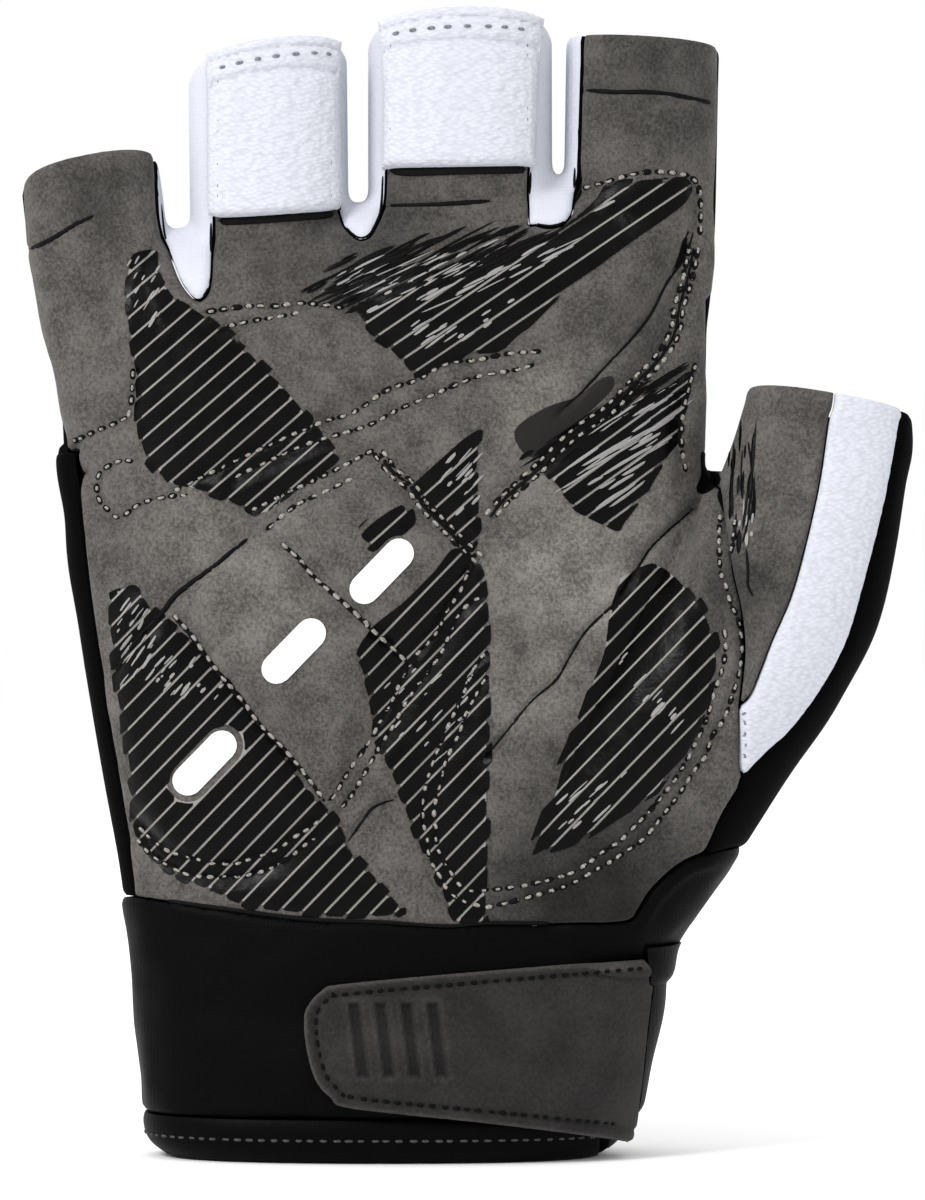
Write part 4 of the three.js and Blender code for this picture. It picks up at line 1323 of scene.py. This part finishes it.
# Wrist strap: heights of its lower and upper edge round the cuff, by angle from the thumb side
STRAP_EDGES = [
    (-90, 3.6, 28.5), (-60, 3.2, 28.6), (-30, 3.0, 29.8), (0, 3.6, 30.0), (60, 4.6, 28.6), (90, 5.4, 27.4),
]
STRAP_END = 78.0
STRAP_CLEARANCE = 0.2
STRAP_SEAM = [(621, 1160), (621, 1136), (644, 957), (646, 930)]


def strap_band_edges(points):
    """Distance to the band's lower and upper edge and its end behind."""
    angle = np.degrees(np.arctan2(points[:, 1] / CUFF_DEPTH, points[:, 0] / CUFF_WIDTH))
    table = np.array(STRAP_EDGES, float)
    low, high = (curve_through(table[:, 0], table[:, i], np.clip(angle, -89.9, 89.9)) for i in (1, 2))
    end = np.radians(STRAP_END - angle) * 20
    return np.minimum.reduce([points[:, 2] - low, high - points[:, 2], end])


def strap_band_room(points):
    """Distance to every edge of the band, its seam under the suede end included."""
    seam = depth_inside(seen(points), zone(STRAP_SEAM, [(FAR_RIGHT, 930), (FAR_RIGHT, 1160)]))
    return np.minimum(strap_band_edges(points), np.where(points[:, 1] < 0, seam, 99.0))


def strap_tab_line(end=0):
    """Outline of the suede end, its right side further out by a number of pixels."""
    middle = drawn(STRAP_TAB[1:-1])
    first, last = STRAP_TAB[0], STRAP_TAB[-1]
    above, below = (first[0] + end, first[1] - 0.083 * end), (last[0] + end, last[1] + 0.1 * end)
    return np.vstack([on_plane([above]), middle, on_plane([below])])


def strap_tab_room(points):
    """Distance to the edges of the suede end, on the front of the cuff only."""
    return np.minimum(depth_inside(seen(points), strap_tab_line()), to_front(points) - 1)


class GLOVE_OT_strap(bpy.types.Operator):
    """Wrist strap: black band round the thumb side and its grey suede end"""

    bl_idname = "glove.strap"
    bl_label = "Wrist strap"

    def execute(self, context):
        thick = sizes().strap_thickness
        cloth, _, _ = cut_panel(strap_band_room)
        crown = thick * (0.1 + 0.9 * eased(strap_band_edges(cloth[0]) / 4.5))
        made = sewn("strap_band_foam", "strap_band", cloth, STRAP_CLEARANCE + crown, crown, "cuff_cloth",
                    "strap_band", "cuff_foam")
        cloth, _, _ = cut_panel(strap_tab_room, refine=1)
        edge = depth_inside(seen(cloth[0]), strap_tab_line(60))
        crown = thick * (0.75 + 0.25 * eased(edge / 0.7)) - 0.35 * np.exp(-((edge - STRAP_ROW) / 0.45) ** 2)
        # The strap's end is painted lighter along its edge, with painted shade in the groove of its stitch
        # row, over a random tone
        painted_light_and_tone = 1.3 * (1 - eased((edge - 0.3) / 0.4)) - 0.35 * np.exp(-((edge - STRAP_ROW) / 0.5) ** 2)
        painted_light_and_tone += 0.15 * lumps(cloth[0], 6, 16)
        flat = seen(cloth[0])
        for i in range(RIB_COUNT):
            away = np.abs(flat[:, 0] - RIB_FIRST - i * RIB_PITCH + RIB_SLOPE * (flat[:, 1] - RIB_LOW))
            ends = np.minimum(flat[:, 1] - RIB_LOW, RIB_HIGH - flat[:, 1])
            inside = np.minimum(RIB_WIDTH / 2 - away, ends)
            crown -= 0.6 * eased(inside / 0.5)
            # Each rib is painted dark in its recess (painted shade) and light along its rim (painted
            # highlight)
            painted_light_and_tone += 0.45 * np.exp(-((inside + 0.3) / 0.35) ** 2) - 0.5 * eased(inside / 0.4)
        sewn("strap_tab_suede", "strap_tab", cloth, TAB_CLEARANCE + crown, crown, "strap_suede", "strap_tab",
             "strap_suede", painted_light_and_tone=np.tile(np.clip(painted_light_and_tone, -0.7, 1.4), 2))
        return {"FINISHED"}


def bar_distance(flat, bar):
    """Distance of flat points to a round-ended bar, negative inside."""
    middle, length, width, slope = bar
    away = flat - on_plane([middle])[0]
    along = np.array([math.cos(math.radians(slope)), math.sin(math.radians(slope))])
    run = np.clip(away @ along, (width - length) / 2, (length - width) / 2)
    return np.linalg.norm(away - run[:, None] * along, axis=1) - width / 2


def film(cloth, room, height):
    """Thin closed layer on the cloth where room is positive."""
    points, tris = trimmed(cloth, room, 0.01)
    if not len(tris):
        return []
    top = points.copy()
    top[:, :3] += top[:, 3:6] * height
    return [thickened((top, tris), points[:, 3:6], height + 0.05)]


def joined(parts):
    """Points and triangles of several forms together."""
    starts = np.cumsum([0] + [len(points) for points, _ in parts[:-1]])
    points = np.concatenate([part for part, _ in parts])
    return points, np.concatenate([tris + start for (_, tris), start in zip(parts, starts)])


def print_room(flat, line, inset=0.0):
    """Distance to the edge of a printed field, drawn in by an inset, and to the margin round the bars."""
    deep = depth_inside(flat, drawn(line, closed=True, steps=4), 8) - inset
    return np.minimum.reduce([deep] + [bar_distance(flat, bar) - BAR_MARGIN for bar in WHITE_BARS])


def printed_bands(slope, line, rng):
    """The slanted bands of one printed field."""
    pitch, gap = sizes().print_pitch, sizes().print_gap
    points, tris = SKIN["palm"]
    flat = seen(points)
    deep = print_room(flat, line)
    across = np.array([-math.sin(math.radians(slope)), math.cos(math.radians(slope))])
    cloth = trimmed((np.column_stack([points, deep, flat @ across]), tris), deep + RAGGED)
    height = cloth[0][:, -1]
    parts = []
    for k in range(int(height.min() // pitch), int(height.max() // pitch) + 1):
        low, high = k * pitch + gap / 2, (k + 1) * pitch - gap / 2
        some = cloth[1][((height > low - 2) & (height < high + 2))[cloth[1]].all(axis=1)]
        ragged = rng.uniform(-RAGGED, RAGGED)
        if len(some):
            band = compact(cloth[0], some)
            bounds = [band[0][:, -1] - low, high - band[0][:, -1], band[0][:, -2] + ragged]
            parts += film(band, np.minimum.reduce(bounds), sizes().print_height)
    return parts


def capsule(rows, sides=6):
    """A strand along x, of unit length and width, from rows of place and girth; its ends are points."""
    angle = np.arange(sides) / sides * 2 * math.pi
    points = [[rows[0][0], 0, 0]]
    for x, girth in rows[1:-1]:
        points += [[x, math.cos(a) * girth / 2, math.sin(a) * girth / 2] for a in angle]
    points.append([rows[-1][0], 0, 0])
    tris = []
    last = len(points) - 1
    for i in range(sides):
        j = (i + 1) % sides
        tris.append([0, 1 + j, 1 + i])
        for row in range(len(rows) - 3):
            a = 1 + row * sides
            tris += [[a + i, a + j, a + sides + j], [a + i, a + sides + j, a + sides + i]]
        tris.append([last, last - sides + i, last - sides + j])
    return np.array(points), np.array(tris)


STITCH_FORM = [(-0.5, 0.0), (-0.42, 0.6), (-0.2, 0.95), (0.2, 0.95), (0.42, 0.6), (0.5, 0.0)]
STROKE_FORM = [
    (-0.5, 0.0), (-0.42, 0.5), (-0.28, 0.85), (-0.1, 1.0), (0.1, 0.95), (0.28, 0.8), (0.42, 0.4), (0.5, 0.0),
]


def looker(*cloths):
    """Finds where a ray meets the cloths."""
    points, tris = joined([(cloth[0][:, :3], cloth[1]) for cloth in cloths])
    return BVHTree.FromPolygons(points.tolist(), tris.tolist())


def landed(tree, place):
    """Point and normal where a ray meets the cloth, or None: through a place in the seen plane, or from a
    point in a direction."""
    if len(place) == 2:
        start = Vector(EYE)
        ray = Vector((place[0], 0, place[1])) - start
    else:
        start, ray = Vector(place[:3]), Vector(place[3:])
    spot, normal, _, _ = tree.ray_cast(start, ray.normalized())
    return None if spot is None else (np.array(spot), np.array(normal))


def followed(tree, path, step=0.45):
    """Runs of points and normals where a path lies on the cloth, with their length so far."""
    at = np.concatenate([[0], np.cumsum(np.linalg.norm(np.diff(path, axis=0), axis=1))])
    count = max(3, int(at[-1] / step))
    places = np.column_stack([np.interp(np.linspace(0, at[-1], count), at, column) for column in path.T])
    runs, run = [], []
    for hit in [landed(tree, place) for place in places] + [None]:
        if hit is None or run and np.linalg.norm(hit[0] - run[-1][0]) > 1.6:
            if len(run) > 2:
                spots, normals = (np.array([one[i] for one in run]) for i in range(2))
                far = np.concatenate([[0], np.cumsum(np.linalg.norm(np.diff(spots, axis=0), axis=1))])
                runs.append((far, spots, normals))
            run = []
        if hit is not None:
            run.append(hit)
    return runs


def laid(run, start, end, form, width, height, sink):
    """A strand's form laid on a run of the cloth between two places along it."""
    far, spots, normals = run
    points, tris = form
    at = start + (points[:, 0] + 0.5) * (end - start)
    place, up = (np.column_stack([np.interp(at, far, column) for column in table.T])
                 for table in (spots, normals))
    ahead = np.column_stack([np.interp(at + 0.2, far, column) - np.interp(at - 0.2, far, column)
                             for column in spots.T])
    side = np.cross(up, ahead)
    side /= np.maximum(np.linalg.norm(side, axis=1), 1e-9)[:, None]
    rise = height * (points[:, 2] + 0.25 * (1 - (2 * points[:, 0]) ** 2)) - sink
    return place + side * points[:, 1:2] * width + up * rise[:, None], tris


def stitches(tree, paths, pitch, length, width, rng, sink=0.05):
    """Stitches one after the other along paths, each lying on the cloth."""
    form = capsule(STITCH_FORM)
    parts = []
    for path in paths:
        for run in followed(tree, path):
            for at in np.arange(pitch / 2, run[0][-1] - length / 2, pitch):
                at += rng.uniform(-0.1, 0.1) * pitch
                long, wide = length * rng.uniform(0.85, 1.1), width * rng.uniform(0.88, 1.12)
                parts.append(laid(run, at - long / 2, at + long / 2, form, wide, wide, sink))
    return parts


def cords(tree, paths, width, height, sink=0.0, sides=6):
    """Unbroken cord along each path."""
    parts = []
    for path in paths:
        for run in followed(tree, path):
            count = max(4, int(run[0][-1] / 0.6))
            ends = 1.5 / count
            rows = [(x, min(1, (0.5 - abs(x)) / ends) ** 0.5) for x in np.linspace(-0.5, 0.5, count)]
            parts.append(laid(run, 0, run[0][-1], capsule(rows, sides), width, height, sink))
    return parts


def strokes(tree, outline, slope, count, longest, width, rng):
    """Tapered strokes of print scattered over a zone of the seen plane."""
    form = capsule(STROKE_FORM, 5)
    edge = drawn(outline, closed=True, steps=3)
    parts = []
    low, high = edge.min(axis=0), edge.max(axis=0)
    places = rng.uniform(low, high, (count * 12, 2))
    for place in places[depth_inside(places, edge) > 0][:count * 2]:
        turn = math.radians(slope + rng.normal(0, 2.2))
        reach = longest * rng.uniform(0.2, 1.0) / 2
        bend = rng.normal(0, 0.03) * reach
        along = np.array([math.cos(turn), math.sin(turn)])
        side = np.array([-along[1], along[0]])
        path = np.array([place - along * reach, place + side * bend, place + along * reach])
        if depth_inside(path[::2], edge).min() < -0.6:
            continue
        wide = width * rng.uniform(0.5, 1.4)
        for run in followed(tree, rounded(path, steps=5)):
            parts.append(laid(run, 0, run[0][-1], form, wide, 0.34, 0.0))
        if len(parts) >= count:
            break
    return parts


class GLOVE_OT_print(bpy.types.Operator):
    """Black grip print in slanted bands with brushed strokes and pale strokes of painted highlight, dark
    film, and plain white bars
    """

    bl_idname = "glove.grip_print"
    bl_label = "Grip print"

    def execute(self, context):
        rng = np.random.default_rng(31)
        tree = looker(SKIN["palm"], SKIN["thumb"])
        flat = seen(SKIN["palm"][0])
        ground = [part for _, line in PRINT_FIELDS
                  for part in film(SKIN["palm"], print_room(flat, line, RAGGED), 0.03)]
        piece("grip_ground", *joined(ground), material_of("bare_line"))
        black = [part for slope, line in PRINT_FIELDS for part in printed_bands(slope, line, rng)]
        pale = []
        # Black strokes are print; pale strokes are painted highlights on the glossy print
        for outline, slope, count, longest, kind in STROKE_ZONES:
            made = strokes(tree, outline, slope, count, longest, 0.55 if kind == "black" else 0.4, rng)
            if kind == "black":
                black += made
            else:
                pale += made
        piece("grip_print", *joined(black), material_of("grip_print"))
        piece("painted_highlight_strokes", *joined(pale), material_of("painted_highlight_colour"))
        films, bars = [], []
        for line in FILMS:
            films += film(SKIN["palm"], depth_inside(flat, drawn(line, closed=True, steps=4), 8), 0.08)
        for bar in WHITE_BARS:
            bars += film(SKIN["palm"], -bar_distance(flat, bar), 0.24)
        piece("grip_film", *joined(films), material_of("film"))
        crotch_patch = drawn(CROTCH_PATCH, closed=True, steps=4)
        patch = [part for cloth in (SKIN["palm"], SKIN["thumb"])
                 for part in film(cloth, depth_inside(seen(cloth[0]), crotch_patch, 8), 0.12)]
        piece("thumb_crotch_patch", *joined(patch), material_of("black_cloth"))
        piece("grip_bars", *joined(bars), material_of("white_print"))
        return {"FINISHED"}


def round_path(height, count=361):
    """Rays from outside towards the cuff's middle, all round it at one height."""
    angle = np.radians(np.linspace(0, 360, count))
    out = np.column_stack([np.cos(angle) * 90, np.sin(angle) * 60])
    return np.column_stack([out, np.full(count, height), -out, np.zeros(count)])


# Seams of the back, which the photograph doesn't show: plain lines in mm, x and height
BACK_SEAMS = [
    [(-31, 36), (-33, 60), (-32, 85), (-31, 108), (-30, 126)],
    [(31, 36), (34, 60), (30, 85), (27, 108), (24, 126)],
    [(-36, 37.5), (-18, 35.8), (0, 35.2), (18, 35.8), (33, 37.5)],
]


def back_rows():
    """The seams of the back as smooth lines in the plane y = 0."""
    return [rounded(np.array(line, float)) for line in BACK_SEAMS]


def from_behind(row):
    """Rays onto the back along a line of x and height."""
    count = len(row)
    return np.column_stack([row[:, 0], np.full(count, 60.0), row[:, 1], np.zeros(count), np.full(count, -1.0),
                            np.zeros(count)])


def tab_paths(name):
    """Hem row and side seams of a pull tab: rows in the seen plane."""
    finger = FINGERS[1] if name == "pull_tab_ring" else FINGERS[2]
    outline = on_plane(TAB_OUTLINES[name])
    middle, tip = finger["tip"] * HAND_WIDTH, finger_tip(finger)
    left, right = outline[:, 0].min(), outline[:, 0].max()
    bottom = outline[outline[:, 1] > 0][:, 1].min()
    x = np.linspace(left + 0.4, right - 0.4, 12)
    height = tip + finger["rise"] * (x - middle) + 0.9 - tip_arch(finger, x) - TAB_ROW
    row = np.column_stack([x, height])
    sides = [np.array([(edge, bottom + 0.8), (edge, tip - TAB_ROW - 0.5)]) for edge in
             (left + TAB_SIDE, right - TAB_SIDE)]
    return row, sides


class GLOVE_OT_stitching(bpy.types.Operator):
    """Rows of stitching on palm, tabs, cuff, strap and back, and dark cords of black thread and painted shade
    """

    bl_idname = "glove.stitching"
    bl_label = "Stitching"

    def execute(self, context):
        s = sizes()
        rng = np.random.default_rng(21)
        palm = looker(SKIN["palm"], SKIN["thumb"])
        parts = stitches(palm, stitch_paths(), s.stitch_pitch, s.stitch_length, s.thread_width, rng)
        beads = [drawn(row) for row in BLACK_ROWS[1:3]]
        parts += stitches(palm, beads, s.stitch_pitch, s.stitch_length, s.thread_width, rng, -0.15)
        piece("palm_stitching", *joined(parts), material_of("palm_thread"), sharp=80)
        # Dark ovals a little longer and wider than each palm stitch, sunk round it: painted shade in the
        # stitch's groove
        rng = np.random.default_rng(21)
        stitch_shade_size = (s.stitch_pitch, s.stitch_length * 1.6, s.thread_width * 1.55)
        painted_stitch_shade = stitches(palm, stitch_paths(), *stitch_shade_size, rng, 0.34)
        dark = [drawn(row) for row in BLACK_ROWS]
        hems = [drawn(row) for row in FINGER_HEMS]
        # Black thread along the black rows, and dark lines along the finger hems
        parts = painted_stitch_shade + cords(palm, dark, 0.85, 0.6, 0.1) + cords(palm, hems, 0.66, 0.5, 0.05)
        # Dark cords in the creases: painted shade in the folds
        parts += cords(palm, [drawn(line) for line in CREASES], 0.4, 0.36, 0.08)
        # Dark cords along the double rows: painted shade in their groove
        parts += cords(palm, [drawn(line) for line in STITCH_LINES], 0.6, 0.3, 0.08)
        # Dark cord along the cuff's seam: painted shade in the seam
        parts += cords(palm, [drawn(CUFF_SEAM[1:9]) + [0, 0.25]], 0.9, 0.6, 0.0)
        webs = looker(*[SKIN[name] for name in WEB_LINES], SKIN["palm"])
        # Dark cords round the lower ends of the webs: painted shade in their seams
        for line in WEB_LINES.values():
            ends = [point for point in line if point[1] > 150]
            parts += cords(webs, [drawn(ends)], 0.42, 0.42, 0.15)
        # Black cords just under the lower edge of each pull tab: painted shadow cast by the tab
        for name in TAB_OUTLINES:
            lower = [point for point in TAB_OUTLINES[name] if point[1] > 150]
            below = on_plane(sorted(lower)) - [0, 0.35]
            parts += cords(palm, [rounded(below)], 1.2, 0.7, 0.0)
        # All these dark cords together: black thread, and painted shade in seams and creases and under the
        # tabs
        piece("dark_cords_and_painted_shade", *joined(parts), material_of("black_thread_and_painted_shade"), sharp=80)

        parts = []
        for name in TAB_OUTLINES:
            tab = looker(SKIN["on_" + name])
            row, sides = tab_paths(name)
            parts += stitches(tab, [row], 2.6, 1.1, 0.5, rng)
            parts += stitches(tab, sides, 1.5, 0.8, 0.22, rng, 0.14)
        wipe = looker(SKIN["wipe"])
        zigzag = np.array([(742 + 5 * (-1) ** i, 712 + 5.5 * i) for i in range(10)], float)
        parts += cords(wipe, [on_plane(zigzag)], 0.34, 0.34, 0.05)
        piece("tab_stitching", *joined(parts), material_of("tab_thread"), sharp=80)

        tab = looker(SKIN["strap_tab"])
        outline = strap_tab_line()
        parts = stitches(tab, [outline + side_of(outline) * STRAP_ROW], 1.6, 1.05, 0.6, rng, 0.1)
        piece("strap_stitching", *joined(parts), material_of("strap_thread"), sharp=80)

        hem = looker(SKIN["hem"])
        parts = stitches(hem, [round_path(3.3)], 1.75, 1.1, 0.42, rng)
        back = looker(SKIN["back"])
        for row in back_rows():
            pair = [from_behind(row + [side, 0]) for side in (-0.65, 0.65)]
            parts += stitches(back, pair, 2.1, 1.3, 0.42, rng)
        piece("cuff_stitching", *joined(parts), material_of("hem_thread"), sharp=80)
        return {"FINISHED"}


class GLOVE_OT_stage(bpy.types.Operator):
    """Pale floor, soft lights and camera"""

    bl_idname = "glove.stage"
    bl_label = "Stage"

    def execute(self, context):
        scene = context.scene
        bpy.ops.mesh.primitive_circle_add(vertices=96, radius=6, fill_type="NGON")
        floor = context.object
        floor.name = "floor"
        material, tree, shader, _ = new_material("painted_white_board")
        shader.inputs["Base Color"].default_value = linear("#ffffff")
        shader.inputs["Roughness"].default_value = 0.9
        floor.data.materials.append(material)
        world = bpy.data.worlds.new("studio")
        world.use_nodes = True
        world.node_tree.nodes["Background"].inputs["Color"].default_value = (1, 1, 1, 1)
        world.node_tree.nodes["Background"].inputs["Strength"].default_value = 1.0
        scene.world = world
        scene.view_settings.view_transform = "Standard"
        # Name, place and size in metres, power in watts
        lamps = [
            ("key", (-0.75, -0.8, 0.95), 0.45, 12.0),
            ("fill", (0.9, -0.8, 0.3), 0.8, 0.6),
            ("top", (0.0, 0.1, 1.1), 0.8, 1.4),
            ("rear", (0.3, 1.1, 0.6), 0.9, 1.6),
        ]
        for name, place, size, power in lamps:
            lamp = bpy.data.lights.new(name, "AREA")
            lamp.size = size
            lamp.energy = power
            holder = bpy.data.objects.new(name, lamp)
            holder.location = place
            aim = Vector((0.01, 0, 0.08)) - Vector(place)
            holder.rotation_euler = aim.to_track_quat("-Z", "Y").to_euler()
            scene.collection.objects.link(holder)
        view = bpy.data.cameras.new("camera")
        view.sensor_fit = "VERTICAL"
        view.sensor_height = SENSOR
        view.lens = SENSOR * -EYE[1] / (PHOTO_SIZE[1] * MM_PER_PIXEL)
        view.clip_start, view.clip_end = 0.05, 20
        camera = bpy.data.objects.new("camera", view)
        camera.location = EYE * MM
        camera.rotation_euler = (math.pi / 2, 0, 0)
        scene.collection.objects.link(camera)
        scene.camera = camera
        return {"FINISHED"}


OPERATORS = [
    GLOVE_OT_stage, GLOVE_OT_palm, GLOVE_OT_back, GLOVE_OT_webs, GLOVE_OT_thumb, GLOVE_OT_tabs, GLOVE_OT_cuff,
    GLOVE_OT_strap, GLOVE_OT_print, GLOVE_OT_stitching,
]


class GLOVE_PT_panel(bpy.types.Panel):
    """Sizes, colours and steps of the glove"""

    bl_label = "Cycling glove"
    bl_idname = "GLOVE_PT_panel"
    bl_space_type = "VIEW_3D"
    bl_region_type = "UI"
    bl_category = "Glove"

    def draw(self, context):
        for group in (context.scene.glove_sizes, context.scene.glove_colours):
            box = self.layout.box()
            for name in group.__annotations__:
                box.prop(group, name)
        for operator in OPERATORS:
            self.layout.operator(operator.bl_idname)


CLASSES = [GloveSizes, GloveColours, *OPERATORS, GLOVE_PT_panel]


def register():
    for item in CLASSES:
        bpy.utils.register_class(item)
    bpy.types.Scene.glove_sizes = bpy.props.PointerProperty(type=GloveSizes)
    bpy.types.Scene.glove_colours = bpy.props.PointerProperty(type=GloveColours)


def unregister():
    del bpy.types.Scene.glove_colours
    del bpy.types.Scene.glove_sizes
    for item in reversed(CLASSES):
        bpy.utils.unregister_class(item)


def main():
    register()
    for operator in OPERATORS:
        group, name = operator.bl_idname.split(".")
        getattr(getattr(bpy.ops, group), name)()


if __name__ == "__main__":
    main()
